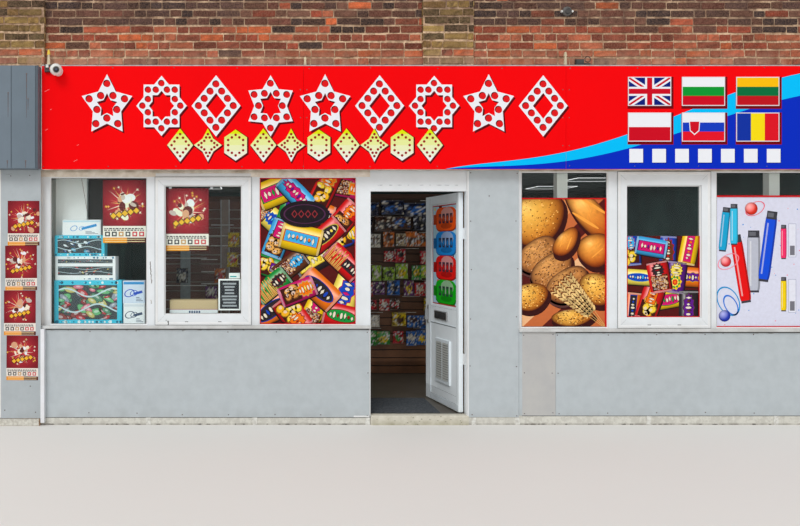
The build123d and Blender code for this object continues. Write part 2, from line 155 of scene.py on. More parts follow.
def rim_of(n, m):
    """The numbers of the points round the edge of a grid of n rows of m points, in order."""
    grid = np.arange(n * m).reshape(n, m)
    return np.concatenate((grid[:-1, 0], grid[-1, :-1], grid[:0:-1, -1], grid[0, :0:-1]))


class Shapes:
    """Gathers closed shapes, each with its own ink, and makes them one mesh."""

    def __init__(self):
        self.points, self.faces, self.inks, self.count = [], [], [], 0

    def add(self, points, faces, ink):
        """Adds points with faces of point numbers, all in one ink or with one for each point."""
        self.points.append(points)
        self.faces.extend(np.asarray(face) + self.count for face in faces)
        self.inks.append(np.broadcast_to(linear(ink), (len(points), 3))[np.concatenate(faces)])
        self.count += len(points)

    def loft(self, grid, ink, closed=False, flip=False):
        """Joins each closed row of a grid of points to the next, and caps the first and the last."""
        n, m = grid.shape[:2]
        faces = list(cells(n, m, closed))
        if not closed:
            faces += [np.arange(m), np.arange(m)[::-1] + (n - 1) * m]
        self.add(grid.reshape(-1, 3), [face[::-1] for face in faces] if flip else faces, ink)

    def stack(self, board, rows, ink, closed=False):
        """Outlines, drawn anticlockwise, each at its distance out of the board and joined in turn."""
        if len(rows[0][0]) < 3:
            return
        grid = [np.column_stack((outline, np.full(len(outline), out))) for outline, out in rows]
        self.loft(board.place(grid), ink, closed, flip=True)

    def prism(self, board, outline, low, high, ink):
        """The solid of an outline between two distances out of the board."""
        self.stack(board, ((outline, low), (outline, high)), ink)

    def block(self, board, x0, x1, z0, z1, low, high, ink, slope=0.0):
        """A block between two X and two Z values whose face is smaller by the slope on each side."""
        face = rectangle(x0 + slope, x1 - slope, z0 + slope, z1 - slope)
        self.stack(board, ((rectangle(x0, x1, z0, z1), low), (face, high)), ink)

    def hoop(self, board, outer, inner, low, high, ink):
        """The solid between two outlines with the same number of points."""
        rows = ((outer, low), (outer, high), (inner, high), (inner, low))
        self.stack(board, rows, ink, closed=True)

    def turn(self, board, centre, profile, ink, segments=12):
        """A profile of (radius, out) pairs turned round an axis that stands on the board."""
        ring = polygon(segments, 1.0)
        self.stack(board, [(ring * radius + centre, out) for radius, out in profile], ink)

    def ribbon(self, board, x, below, above, low, high, ink):
        """The solid between two curves over the same X values."""
        corners = ((below, low), (below, high), (above, high), (above, low))
        grid = np.stack([np.column_stack((x, z, np.full(len(x), out))) for z, out in corners], 1)
        self.loft(board.place(grid), ink)

    def ring(self, board, x0, x1, z0, z1, profile, ink):
        """A frame round a rectangle, mitred at its corners, from clockwise (outwards, out) pairs."""
        side, out = np.array(profile[::-1]).T
        spread = side[:, None] * rectangle(-1, 1, -1, 1)[:, None]
        flat = rectangle(x0, x1, z0, z1)[:, None] + spread
        grid = np.concatenate((flat, np.broadcast_to(out[:, None], (*flat.shape[:2], 1))), -1)
        self.loft(board.place(grid), ink, closed=True)

    def sweep(self, path, profile, ink, closed=False, up=(0, 0, 1)):
        """A closed profile of (side, height) pairs carried along a path of points.

        At each point the profile's side axis is the path's direction crossed with the up vector,
        and its height axis is square to both."""
        ahead = np.roll(path, -1, axis=0) - path
        behind = path - np.roll(path, 1, axis=0)
        if not closed:
            ahead[-1], behind[0] = behind[-1], ahead[0]
        ahead, behind = unit(ahead), unit(behind)
        along = unit(ahead + behind)
        stretch = 1 / np.sqrt((1 + np.sum(ahead * behind, axis=1)) / 2)
        side = unit(np.cross(along, up))
        across, height = np.array(profile, float).T
        wide = side[:, None] * (across * stretch[:, None])[..., None]
        tall = np.cross(side, along)[:, None] * height[:, None]
        self.loft(path[:, None] + wide + tall, ink, closed)

    def piece(self, name, look, slot, body="building", smooth=False):
        """Makes the mesh, with its inks as an attribute, and lets it ride on a body."""
        mesh = bpy.data.meshes.new(name)
        mesh.from_pydata(np.concatenate(self.points).tolist(), [], [face.tolist() for face in self.faces])
        inks = np.concatenate(self.inks)
        inks = np.column_stack((inks, np.ones(len(inks)))).astype(np.float32)
        mesh.attributes.new("ink", "FLOAT_COLOR", "CORNER").data.foreach_set("color", inks.ravel())
        mesh.polygons.foreach_set("use_smooth", np.full(len(mesh.polygons), smooth))
        mesh.materials.append(LOOKS[look])
        mesh.validate()
        made = bpy.data.objects.new(name, mesh)
        bpy.context.scene.collection.objects.link(made)
        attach(made, body)
        return made


def unit(vectors):
    """A vector, or each row of an array, made one long."""
    return vectors / np.linalg.norm(vectors, axis=-1, keepdims=True)


def rectangle(x0, x1, z0, z1):
    """The four corners of a rectangle, anticlockwise."""
    return np.array(((x0, z0), (x1, z0), (x1, z1), (x0, z1)), float)


def polygon(sides, radius, start=0.0, squash=1.0):
    """Points at even angles on a circle that may be flattened."""
    angle = np.linspace(0, 2 * math.pi, sides, endpoint=False) + start
    return np.column_stack((np.cos(angle), np.sin(angle) * squash)) * radius


def star(points, outer, inner, start=math.pi / 2):
    """Points at even angles whose radius is outer and inner in turn."""
    return polygon(2 * points, 1.0, start) * np.tile((outer, inner), points)[:, None]


def pillow(sides, power):
    """A circle of radius one, squarer the lower the power."""
    shape = polygon(sides, 1.0)
    return np.sign(shape) * np.abs(shape) ** power


def turned(outline, angle, centre=(0, 0)):
    """An outline turned about zero and moved to a centre."""
    c, s = math.cos(angle), math.sin(angle)
    return outline @ np.array(((c, s), (-s, c))) + centre


def clipped(outline, x0, x1, z0, z1):
    """The part of an outline inside a rectangle: each side in turn keeps the points on its inner
    side and adds the points where the outline crosses it."""
    for axis, sign, bound in ((0, 1, x0), (0, -1, x1), (1, 1, z0), (1, -1, z1)):
        if len(outline) < 3:
            return outline
        after = np.roll(outline, -1, axis=0)
        here, there = (sign * (points[:, axis] - bound) for points in (outline, after))
        crossing = (here > 0) != (there > 0)
        share = np.where(crossing, here / np.where(here == there, 1, here - there), 0)
        both = np.stack((outline, outline + (after - outline) * share[:, None]), 1)
        outline = both[np.stack((here > 0, crossing), 1)]
    return outline


# Node trees
def wire(tree, made, inputs):
    """Sets or links each named input of a node."""
    for key, value in inputs.items():
        if isinstance(value, bpy.types.NodeSocket):
            tree.links.new(value, made.inputs[key])
        else:
            made.inputs[key].default_value = value


def node(tree, kind, inputs=None, **settings):
    """Adds a shader node with its settings and inputs."""
    made = tree.nodes.new("ShaderNode" + kind)
    for key, value in settings.items():
        setattr(made, key, value)
    wire(tree, made, inputs or {})
    return made


def maths(tree, operation, first, second):
    """The result of one operation on two values."""
    return node(tree, "Math", {0: first, 1: second}, operation=operation).outputs[0]


def mapped(tree, value, low, high):
    """A value's place between two others, from 0 to 1."""
    return node(tree, "MapRange", {"Value": value, "From Min": low, "From Max": high}).outputs[0]


GREY = (0.5, 0.5, 0.5, 1)


def group(name, inputs, outputs):
    """A shader node group with named sockets, its given sockets, its output node and Object places."""
    tree = bpy.data.node_groups.new(name, "ShaderNodeTree")
    for way, sockets in (("INPUT", inputs), ("OUTPUT", outputs)):
        for label, value in sockets.items():
            kind = {1: "NodeSocketFloat", 3: "NodeSocketVector", 4: "NodeSocketColor"}[np.size(value)]
            socket = tree.interface.new_socket(label, in_out=way, socket_type=kind)
            if way == "INPUT":
                socket.default_value = value
    given, result = tree.nodes.new("NodeGroupInput").outputs, tree.nodes.new("NodeGroupOutput")
    return tree, given, result, node(tree, "TexCoord").outputs["Object"]


def mixed_in(tree, given, result, mask, other):
    """Mixes the other colour in by the mask times the amount, and puts out the colour and mask."""
    share = maths(tree, "MULTIPLY", mask, given["Amount"])
    colours = {"Factor": share, "A": given["Colour"], "B": given[other]}
    mixed = node(tree, "Mix", colours, data_type="RGBA")
    wire(tree, result, {"Colour": mixed.outputs["Result"], "Mask": share})
    return tree


def mottle_group():
    """Mixes a second colour into a first where a noise in Object coordinates is high."""
    inputs = {"Colour": GREY, "Other": GREY, "Scale": 5.0, "Amount": 0.5, "Edge": 0.3}
    tree, given, result, where = group("mottle", inputs, {"Colour": GREY, "Mask": 0.0})
    settings = {"Vector": where, "Scale": given["Scale"], "Detail": 6.0, "Roughness": 0.62}
    noise = node(tree, "TexNoise", settings).outputs["Fac"]
    ends = (maths(tree, operation, 0.5, given["Edge"]) for operation in ("SUBTRACT", "ADD"))
    return mixed_in(tree, given, result, mapped(tree, noise, *ends), "Other")


def relief_group():
    """A bump normal from a noise in Object coordinates."""
    inputs = {"Scale": 40.0, "Depth": 0.002, "Stretch": (1, 1, 1)}
    tree, given, result, where = group("relief", inputs, {"Normal": (0, 0, 0), "Height": 0.0})
    scaled = node(tree, "VectorMath", {0: where, 1: given["Stretch"]}, operation="MULTIPLY").outputs[0]
    settings = {"Vector": scaled, "Scale": given["Scale"], "Detail": 5.0, "Roughness": 0.6}
    noise = node(tree, "TexNoise", settings).outputs["Fac"]
    bump = node(tree, "Bump", {"Height": noise, "Distance": given["Depth"]})
    wire(tree, result, {"Normal": bump.outputs["Normal"], "Height": noise})
    return tree


def grime_and_shade_group():
    """Darkens a colour towards a height in Z, broken up by an upright stretched noise. It gives dirt, and
    painted shade under the sign on the window heads.
    """
    inputs = {"Colour": GREY, "Grime And Shade": GREY, "Bare Z": 0.5, "Full Z": 0.0, "Amount": 0.5}
    tree, given, result, where = group("grime_and_shade", inputs, {"Colour": GREY, "Mask": 0.0})
    height = node(tree, "SeparateXYZ", {0: where}).outputs["Z"]
    near = mapped(tree, height, given["Bare Z"], given["Full Z"])
    drawn = node(tree, "VectorMath", {0: where, 1: (9.0, 9.0, 1.6)}, operation="MULTIPLY").outputs[0]
    noise = node(tree, "TexNoise", {"Vector": drawn, "Scale": 1.0, "Detail": 7.0}).outputs["Fac"]
    both = maths(tree, "MULTIPLY", near, mapped(tree, noise, 0.3, 0.7))
    return mixed_in(tree, given, result, both, "Grime And Shade")


MOTTLE, RELIEF, GRIME_AND_SHADE = mottle_group(), relief_group(), grime_and_shade_group()
MOTTLING = ("Other", "Scale", "Amount", "Edge")
GRIME_AND_SHADE_LABELS = ("Grime And Shade", "Bare Z", "Full Z", "Amount")
PLAIN = (60.0, 0.001)
LOOKS = {}


def rgba(colour):
    """A linear colour with full alpha."""
    return (*[float(c) for c in linear(colour)], 1.0)


def fresh(name):
    """A new material of that name, its tree and its shader."""
    made = LOOKS[name] = bpy.data.materials.new(name)
    made.use_nodes = True
    return made.node_tree, made.node_tree.nodes["Principled BSDF"]


def dress(name, nodes):
    """Gives a finish to the named fixed solids."""
    for node_name in nodes.split():
        for slot in frame["nodes"][node_name].material_slots:
            slot.material = LOOKS[name]


def finish(
    name, nodes="", colour=None, other=None, roughness=0.5, mottling=(6.0, 0.5, 0.25), specks=None,
    relief=PLAIN, stretch=(1, 1, 1), grime_and_shade=None, metallic=0.0, coat=0.0, specular=0.5,
):
    """A material whose colour is given, or is each face's ink, then mottled, speckled and mixed with another
    colour towards a height.

    mottling is (scale, amount, edge), specks is (colour, scale, amount, edge), relief is
    (scale, depth) and grime is (colour, bare Z, full Z, amount), which gives dirt and smears on most finishes
    and painted shade under the sign on the window heads."""
    tree, shader = fresh(name)
    ink = node(tree, "Attribute", attribute_name="ink").outputs["Color"] if colour is None else rgba(colour)
    mottles = None if other is None else (other, *mottling)
    steps = ((MOTTLE, MOTTLING, mottles), (MOTTLE, MOTTLING, specks), (GRIME_AND_SHADE, GRIME_AND_SHADE_LABELS, grime_and_shade))
    for made, labels, values in steps:
        if values is not None:
            settings = dict(zip(labels, (rgba(values[0]), *values[1:])))
            ink = node(tree, "Group", {"Colour": ink, **settings}, node_tree=made).outputs["Colour"]
    wire(tree, shader, {"Base Color": ink, "Roughness": roughness, "Metallic": metallic})
    wire(tree, shader, {"Coat Weight": coat, "Specular IOR Level": specular})
    if relief is not None:
        settings = {"Scale": relief[0], "Depth": relief[1], "Stretch": stretch}
        bump = node(tree, "Group", settings, node_tree=RELIEF)
        wire(tree, shader, {"Normal": bump.outputs["Normal"]})
    dress(name, nodes)


# Finishes
finish(
    "mortar", "left_party_wall right_party_wall rear_wall rear_piers pier_bases door_side_column"
    " front_piers left_upper_wall right_upper_wall stall_risers",
    (234, 202, 168), (166, 130, 102), 0.95, (8.0, 0.8, 0.14), specks=((112, 82, 64), 30.0, 0.5, 0.06),
    relief=(180, 0.004), grime_and_shade=((104, 80, 70), 3.68, 3.82, 0.9), specular=0.1,
)
for name, smear in (("brick face", None), ("front brick face", ((214, 172, 146), 3.54, 3.40, 0.75))):
    finish(
        name, "", None, (52, 36, 34), 0.9, (110.0, 0.4, 0.15), ((216, 170, 140), 70.0, 0.14, 0.1),
        (130, 0.004), grime_and_shade=smear, specular=0.1,
    )
for name, nodes, *tones, scale, relief in (
    ("coping stone", "parapet_copings", (168, 160, 146), (96, 92, 84), 0.9, (7.0, 0.7, 0.2), (90, 0.003)),
    ("concrete", "front_beam", (142, 136, 128), (96, 90, 84), 0.9, (12.0, 0.7, 0.2), (120, 0.002)),
    ("floor vinyl", "floor_slab", (88, 82, 72), (62, 56, 48), 0.45, (5.0, 0.6, 0.2), PLAIN),
    ("mat ribs", "entrance_mat", (80, 86, 92), (24, 26, 30), 0.95, (50.0, 0.8, 0.12), (220, 0.003)),
    ("roofing felt", "roof_deck", (92, 94, 96), (58, 60, 62), 0.95, (3.0, 0.7, 0.25), (400, 0.002)),
    ("ceiling paint", "ceiling ceiling_lights", (96, 106, 104), (80, 90, 88), 0.8, (3.0, 0.5, 0.25), PLAIN),
    ("camera shell", "security_camera", (232, 232, 228), (206, 206, 200), 0.25, (6.0, 0.5, 0.25), None),
    ("white enamel", "inner_posts", (255, 255, 252), (236, 234, 226), 0.35, (6.0, 0.5, 0.25), None),
    ("flaking posts", "", None, (150, 142, 130), 0.85, (38.0, 0.5, 0.12), (60, 0.004)),
    ("felt and joints", "", None, (60, 60, 60), 0.95, (5.0, 0.5, 0.25), (300, 0.002)),
    # The inner plaster's dark tones are painted shade for the dim shop inside.
    ("inner plaster", "", None, (38, 52, 52), 0.8, (1.3, 0.9, 0.18), (3.0, 0.003)),
    ("small fittings", "", None, (90, 86, 80), 0.5, (22.0, 0.35, 0.12), None),
    ("bead plastic", "", None, (206, 204, 196), 0.3, (5.0, 0.4, 0.2), None),
    ("door bead", "", None, (190, 196, 196), 0.3, (5.0, 0.4, 0.2), None),
    ("dark rubber", "", None, (110, 106, 100), 0.6, (26.0, 0.25, 0.12), None),
):
    finish(name, nodes, *tones, scale, relief=relief)
for name, nodes, gain in (
    ("grey sheet", "riser_panels door_cladding_panel", 1.0), ("pilaster sheet", "pilaster_panels", 0.88),
):
    finish(
        name, nodes, srgb(182, 190, 194) * gain, srgb(170, 178, 182) * gain, 0.42, (2.5, 0.6, 0.3),
        (srgb(196, 204, 208) * gain, 9.0, 0.35, 0.12), (3.0, 0.002),
        grime_and_shade=((120, 112, 100), 0.18, 0.06, 0.22),
    )
finish(
    "dark sheet", "pilaster_heads", (107, 120, 132), (84, 96, 106), 0.45, (2.2, 0.8, 0.3),
    relief=(4.0, 0.002), stretch=(6, 6, 1),
)
finish(
    "head sheet", "", None, (84, 96, 106), 0.45, (2.2, 0.6, 0.3), relief=(4.0, 0.002), stretch=(6, 6, 1)
)
finish(
    "white plastic", "window_ledges window_posts casement_frames door_head_board door_jambs door_hinges",
    (233, 238, 242), (213, 217, 218), 0.28, (4.0, 0.5, 0.2), relief=None,
    grime_and_shade=((160, 150, 134), 1.0, 0.86, 0.4),
)
finish(
    "sill plastic", "window_sills", (212, 214, 214), (180, 180, 176), 0.32, (5.0, 0.6, 0.2),
    ((130, 124, 114), 7.0, 0.25, 0.1), None,
)
finish(
    "flaking paint", "plinths", (220, 219, 210), (192, 188, 178), 0.85, (2.4, 0.6, 0.25),
    ((120, 112, 100), 24.0, 0.22, 0.06), (60, 0.003), grime_and_shade=((80, 72, 62), 0.022, 0.0, 0.9),
)
finish(
    "sign gloss", "sign_panels", (250, 0, 6), (232, 0, 8), 0.3, (1.2, 0.5, 0.3), relief=(2.2, 0.002),
    specular=0.06,
)
finish("sign ink", roughness=0.3, relief=None, specular=0.06)
finish("paper ink", relief=(8.0, 0.001), specular=0.2)
finish("film ink", "", None, (90, 66, 54), 0.3, (30.0, 0.1, 0.2), relief=(5.0, 0.0006), specular=0.1)
finish("packet foil", "packet_rows", roughness=0.25, relief=(46.0, 0.004), coat=0.3)
finish(
    "carton board", "window_display", None, (150, 140, 126), 0.5, (12.0, 0.08, 0.2), relief=None,
    specular=0.3,
)
finish("rail wood", "sign_rails", (136, 112, 84), (96, 76, 56), 0.8, (9.0, 0.6, 0.2), stretch=(1, 6, 6))
# Browner and darker towards the top of the head boards: painted shade under the sign.
finish(
    "head paint", "window_heads sign_soffit", (250, 242, 230), (206, 190, 168), 0.75, (10.0, 0.7, 0.16),
    relief=(70, 0.002), grime_and_shade=((150, 118, 88), 2.372, 2.402, 0.9),
)
finish(
    "step concrete", "door_step", (218, 214, 200), (180, 174, 156), 0.9, (12.0, 0.8, 0.2),
    relief=(120, 0.002), grime_and_shade=((140, 136, 104), 0.055, 0.0, 0.9),
)
finish(
    "edge metal", "sign_flashing", (132, 112, 104), (84, 74, 70), 0.5, (6.0, 0.8, 0.2), metallic=0.3
)
for name, nodes, colour, other, amount in (
    ("slat wood", "slatwall side_slatwall", (84, 54, 38), (52, 32, 24), 0.8),
    ("slat board", "", None, (54, 36, 28), 0.7),
):
    finish(name, nodes, colour, other, 0.45, (4.0, amount, 0.25), relief=(30, 0.001), stretch=(1, 1, 14))
finish("bright metal", "letter_plate door_handle", (186, 188, 190), (130, 130, 130), 0.3, metallic=0.9)
finish(
    "door plastic", "door_leaf door_panel door_vent", (242, 250, 254), (226, 234, 238), 0.28,
    (4.0, 0.5, 0.2), relief=(3.0, 0.001),
)
finish("handle metal", "", None, (120, 120, 118), 0.3, (30.0, 0.3, 0.15), relief=None, metallic=0.85)
finish("screw metal", "", None, (120, 70, 40), 0.45, (40.0, 0.5, 0.15), relief=None, metallic=0.3)


def glass_finish():
    """Clear glass with a faint cool tint, which lets light through to what stands behind it."""
    tree, shader = fresh("window glass")
    tint = rgba((249, 253, 252))
    wire(tree, shader, {"Base Color": tint, "Roughness": 0.0, "Transmission Weight": 1.0, "IOR": 1.2})
    path = node(tree, "LightPath").outputs
    passing = maths(tree, "MAXIMUM", path["Is Shadow Ray"], path["Is Diffuse Ray"])
    clear = node(tree, "BsdfTransparent", {"Color": tint}).outputs[0]
    both = node(tree, "MixShader", {0: passing, 1: shader.outputs[0], 2: clear}).outputs[0]
    wire(tree, tree.nodes["Material Output"], {"Surface": both})
    dress("window glass", "window_glass")


def glow_finish():
    """A plain white glow for the ceiling lights."""
    white = (1, 1, 1, 1)
    wire(*fresh("light glow"), {"Base Color": white, "Emission Color": white, "Emission Strength": 1.2})


glass_finish()
glow_finish()


# Brickwork
STRETCHER, HEADER, COURSE = 0.215, 0.1025, 0.0755
BED_JOINT, JOINTS = 0.0165, (0.003, 0.010)
RED_BRICKS = inks_of(
    (178, 86, 60), (158, 70, 50), (190, 104, 74), (128, 60, 46), (180, 94, 66), (144, 74, 56), (202, 98, 56)
)
DARK_BRICKS = inks_of(
    (96, 62, 54), (72, 52, 50), (54, 46, 48), (112, 66, 56), (82, 60, 56), (110, 74, 62), (42, 38, 42)
)
STOCK_BRICKS = inks_of(
    (138, 112, 64), (112, 92, 54), (156, 126, 72), (84, 72, 48), (70, 60, 44), (126, 98, 56), (162, 134, 78)
)
RED_FOOT, SMEAR_TOP, WARM_TOP = 3.0, 3.53, 3.757


def brick_inks(kind, heights):
    """One ink for each brick: red below the warm top and dark above it on the front, yellow stock
    with red feet on a pier, and a calm mixture of both on plain walls."""
    count = len(heights)
    red, dark, stock = (
        tints[draw.integers(0, len(tints), count)] for tints in (RED_BRICKS, DARK_BRICKS, STOCK_BRICKS)
    )
    shade = draw.uniform(0.64, 1.25, (count, 1))
    chance = draw.random(count)
    if kind == "pier":
        low = (heights < SMEAR_TOP) & (chance < 0.5) & (heights > RED_FOOT)
        return np.where(low[:, None], red, stock) * shade
    if kind == "front":
        upper = (heights > WARM_TOP + draw.normal(0, 0.03, count)) ^ (chance < 0.05)
        return np.where(upper[:, None], dark, red) * shade
    mixed = np.where((chance < 0.4)[:, None], dark, red)
    return (mixed * 0.65 + srgb(124, 98, 82) * 0.35) * shade


def course_ends(length, stagger):
    """The start and end of each brick of one course, a mix of stretchers and headers."""
    count = int(length / HEADER) + 2
    lengths = np.where(draw.random(count) < 0.55, STRETCHER, HEADER)
    gaps = draw.uniform(*JOINTS, count)
    ends = np.cumsum(lengths + gaps) - gaps - stagger
    starts = ends - lengths
    shown = (ends > 0.02) & (starts < length - 0.02)
    return np.clip(starts[shown], 0, length), np.clip(ends[shown], 0, length)


def brickwork(name, board, length, bottom, kind, slot, top=TOP):
    """Bricks on a wall, each a slab whose face is a grid of cells, proud of the mortar.

    A point of the face lies at its share u of the brick's length and v of its height, drawn in by
    2 mm at an edge and 4 mm at a corner, and off by a random 1 mm on plain walls and 1.7 mm on the
    front. Its ink is the brick's own times a random shade, and three points in twenty are darker."""
    plain = kind == "plain"
    starts, ends, lows = [], [], []
    for course in np.arange(math.floor(bottom / COURSE) * COURSE, top - 0.02, COURSE):
        first, last = course_ends(length, draw.uniform(0, STRETCHER))
        starts.append(first)
        ends.append(last)
        lows.append(course + draw.normal(0, 0.0012, len(first)))
    x0, x1, z0 = (np.concatenate(part) for part in (starts, ends, lows))
    n = len(x0)
    z1 = np.minimum(z0 + COURSE - BED_JOINT + draw.normal(0, 0.0018, n), top)
    z0 = np.maximum(z0, bottom)
    wide, tall = (1, 1) if plain else (4, 2)
    u, v = (g.ravel() for g in np.meshgrid(np.arange(wide + 1), np.arange(tall + 1), indexing="ij"))
    side_u, side_v = (u == 0) * 1 - (u == wide), (v == 0) * 1 - (v == tall)
    inset = np.where((side_u != 0) & (side_v != 0), 0.004, 0.002)
    m = len(u)
    random = draw.normal(0, 0.001 if plain else 0.0017, (3, n, m))
    x = x0[:, None] + (x1 - x0)[:, None] * u / wide
    z = z0[:, None] + (z1 - z0)[:, None] * v / tall
    rise = 0.005 + draw.normal(0, 0.0012, (n, 1)) + random[2] * 0.6
    face = np.stack((x + side_u * inset + random[0], z + side_v * inset + random[1], rise), -1)
    rim = rim_of(wide + 1, tall + 1)
    back = np.stack((x[:, rim], z[:, rim], np.full((n, len(rim)), -0.002)), -1)
    low = np.arange(len(rim)) + m
    sides = np.stack((low, np.roll(low, -1), np.roll(rim, -1), rim), -1)
    first = np.arange(n)[:, None, None] * (m + len(rim))
    quads = (first + np.concatenate((cells(wide + 1, tall + 1, around=False), sides))).reshape(-1, 4)
    backs = (first[:, 0] + low[::-1]).reshape(n, -1)
    uneven = {"pier": 0.25, "front": 0.17, "plain": 0.07}[kind]
    shade = 1 + draw.normal(0, uneven, (n, m + len(rim), 1))
    shade *= np.where(draw.random(shade.shape) < 0.15, 0.72, 1.0)
    inks = brick_inks(kind, (z0 + z1) / 2)[:, None] * shade
    bricks = Shapes()
    points = board.place(np.concatenate((face, back), 1).reshape(-1, 3))
    bricks.add(points, [*quads, *backs], inks.reshape(-1, 3))
    bricks.piece(name, "brick face" if plain else "front brick face", slot)


def wall_bricks():
    """Bricks on every masonry face that shows: front, party walls, rear and parapet."""
    wall, pier, party = "brickwork", "pier_brick", "party_brick"
    width, pier_width, inner_width = PIER_INNER - MIDDLE_PIER, HALF - PIER_INNER, 2 * INSIDE
    step, rear_step = WALL_Y - PIER_Y, REAR_PIER_Y - REAR_Y
    length, depth = REAR_PIER_Y - PIER_Y, REAR_INSIDE - BACK_Y
    head = HEAD_HIGH[2]
    runs = [
        ("left_front", front_board(WALL_Y, -PIER_INNER), width, OVER_SIGN, "front", wall),
        ("right_front", front_board(WALL_Y, MIDDLE_PIER), width, OVER_SIGN, "front", wall),
        ("left_pier", front_board(PIER_Y, -HALF), pier_width, head, "pier", pier),
        ("middle_pier", front_board(PIER_Y, -MIDDLE_PIER), pier_width, OVER_SIGN, "pier", pier),
        ("right_pier", front_board(PIER_Y, PIER_INNER), pier_width, head, "pier", pier),
        ("left_party", side_board(-HALF, REAR_PIER_Y, -1), length, 0, "plain", party),
        ("right_party", side_board(HALF, PIER_Y, 1), length, 0, "plain", party),
        ("left_rear", back_board(-MIDDLE_PIER, REAR_Y), width, 0, "plain", party),
        ("right_rear", back_board(PIER_INNER, REAR_Y), width, 0, "plain", party),
        ("front_parapet", back_board(INSIDE, BACK_Y), inner_width, ROOF, "plain", wall),
        ("rear_parapet", front_board(REAR_INSIDE, -INSIDE), inner_width, ROOF, "plain", party),
        ("left_parapet", side_board(-INSIDE, BACK_Y, 1), depth, ROOF, "plain", party),
        ("right_parapet", side_board(INSIDE, REAR_INSIDE, -1), depth, ROOF, "plain", party),
    ]
    for place, start in (("right", HALF), ("middle", MIDDLE_PIER), ("left", -PIER_INNER)):
        runs.append((f"{place}_rear_pier", back_board(start, REAR_PIER_Y), pier_width, 0, "plain", pier))
    for place, x in (("left", -PIER_INNER), ("middle", MIDDLE_PIER)):
        runs.append((f"{place}_return", side_board(x, PIER_Y, 1), step, OVER_SIGN, "pier", pier))
        runs.append((f"{place}_rear_return", side_board(x, REAR_Y, 1), rear_step, 0, "plain", pier))
    for place, x in (("middle", -MIDDLE_PIER), ("right", PIER_INNER)):
        runs.append((f"{place}_far_return", side_board(x, WALL_Y, -1), step, OVER_SIGN, "pier", pier))
        board = side_board(x, REAR_PIER_Y, -1)
        runs.append((f"{place}_far_rear_return", board, rear_step, 0, "plain", pier))
    for name, *run in runs:
        brickwork(f"{name}_bricks", *run)
    for side, x in (("left", -HALF), ("right", PANEL_OUT)):
        board = front_board(PIER_Y, x)
        brickwork(f"{side}_base_bricks", board, HALF - PANEL_OUT, 0.0, "pier", pier, SIGN_LOW[2])


wall_bricks()


# Sign
# A print reaches SKIN into its board and stands out of it by STEP for each level. The rings of
# points of a smooth film lie at SHARES of its reach.
SKIN, STEP = 0.0004, 0.00008
SHARES = np.array((0.06, 0.2, 0.35, 0.5, 0.64, 0.76, 0.86, 0.93, 1.0))
WHITE, DEEP_RED = inks_of((236, 238, 244), (96, 10, 16))
# Points (x, z) on the light band's upper and lower edges
BAND_ABOVE = (
    (-0.036, 2.407), (0.466, 2.463), (1.043, 2.571), (1.648, 2.711), (2.067, 2.888), (2.570, 3.092),
    (3.072, 3.251), (3.258, 3.288), (3.803, 3.352),
)
BAND_BELOW = (
    (-0.036, 2.405), (0.466, 2.424), (1.043, 2.481), (1.648, 2.590), (2.067, 2.711), (2.570, 2.902),
    (3.072, 3.046), (3.258, 3.077), (3.803, 3.140),
)


class Sheet(Shapes):
    """Shapes printed on a board, kept inside an area of (x0, x1, z0, z1) where there is one."""

    def __init__(self, board, area=None):
        super().__init__()
        self.board, self.area = board, area

    def put(self, outline, level, ink, centre=(0, 0), angle=0.0):
        """A thin film of an outline, turned and moved. A higher level lies on a lower one."""
        outline = turned(outline, angle, centre)
        if self.area:
            outline = clipped(outline, *self.area)
        self.prism(self.board, outline, -SKIN, level * STEP, ink)

    def fill(self, level, ink):
        """A thin film over the whole area."""
        self.put(rectangle(*self.area), level, ink)

    def at(self, u, v):
        """The point at a share u of the area's width and v of its height."""
        x0, x1, z0, z1 = self.area
        return np.array((x0 + u * (x1 - x0), z0 + v * (z1 - z0)))

    def kept(self, points):
        """Points moved to the nearest place inside the area."""
        return np.clip(points, self.area[::2], self.area[1::2]) if self.area else points

    def loop(self, outer, inner, level, ink):
        """A thin film between two outlines."""
        self.hoop(self.board, self.kept(outer), self.kept(inner), -SKIN, level * STEP, ink)

    def film(self, outline, level, ink_at):
        """A thin film with smooth inks. Nested rings of points run from the middle to the outline.

        The ink at a point is a formula of its offset from the middle, as a share of the outline's
        reach, and of its ring's share."""
        n, middle = len(outline), outline.mean(0)
        offset = ((outline - middle) * SHARES[:, None, None]).reshape(-1, 2)
        flat = self.kept(offset + middle)
        top = np.column_stack((flat, np.full(len(flat), level * STEP)))
        back = np.column_stack((flat[-n:], np.full(n, -SKIN)))
        inks = ink_at(offset / np.abs(outline - middle).max(), np.repeat(SHARES, n))
        grid = self.board.place(np.concatenate((top, back))).reshape(-1, n, 3)
        self.loft(grid, np.concatenate((inks, inks[-n:])))

    def border(self, width, ink, level=80, sides="lrtb"):
        """Thin lines along the chosen sides of the area."""
        x0, x1, z0, z1 = self.area
        strips = {
            "l": (x0, x0 + width, z0, z1), "r": (x1 - width, x1, z0, z1),
            "t": (x0, x1, z1 - width, z1), "b": (x0, x1, z0, z0 + width),
        }
        for side in sides:
            self.put(rectangle(*strips[side]), level, ink)


def along(outline, steps):
    """Points at even steps along every edge of a closed outline, its corners among them."""
    share = np.linspace(0, 1, steps, endpoint=False)[None, :, None]
    after = np.roll(outline, -1, axis=0)[:, None]
    return (outline[:, None] * (1 - share) + after * share).reshape(-1, 2)


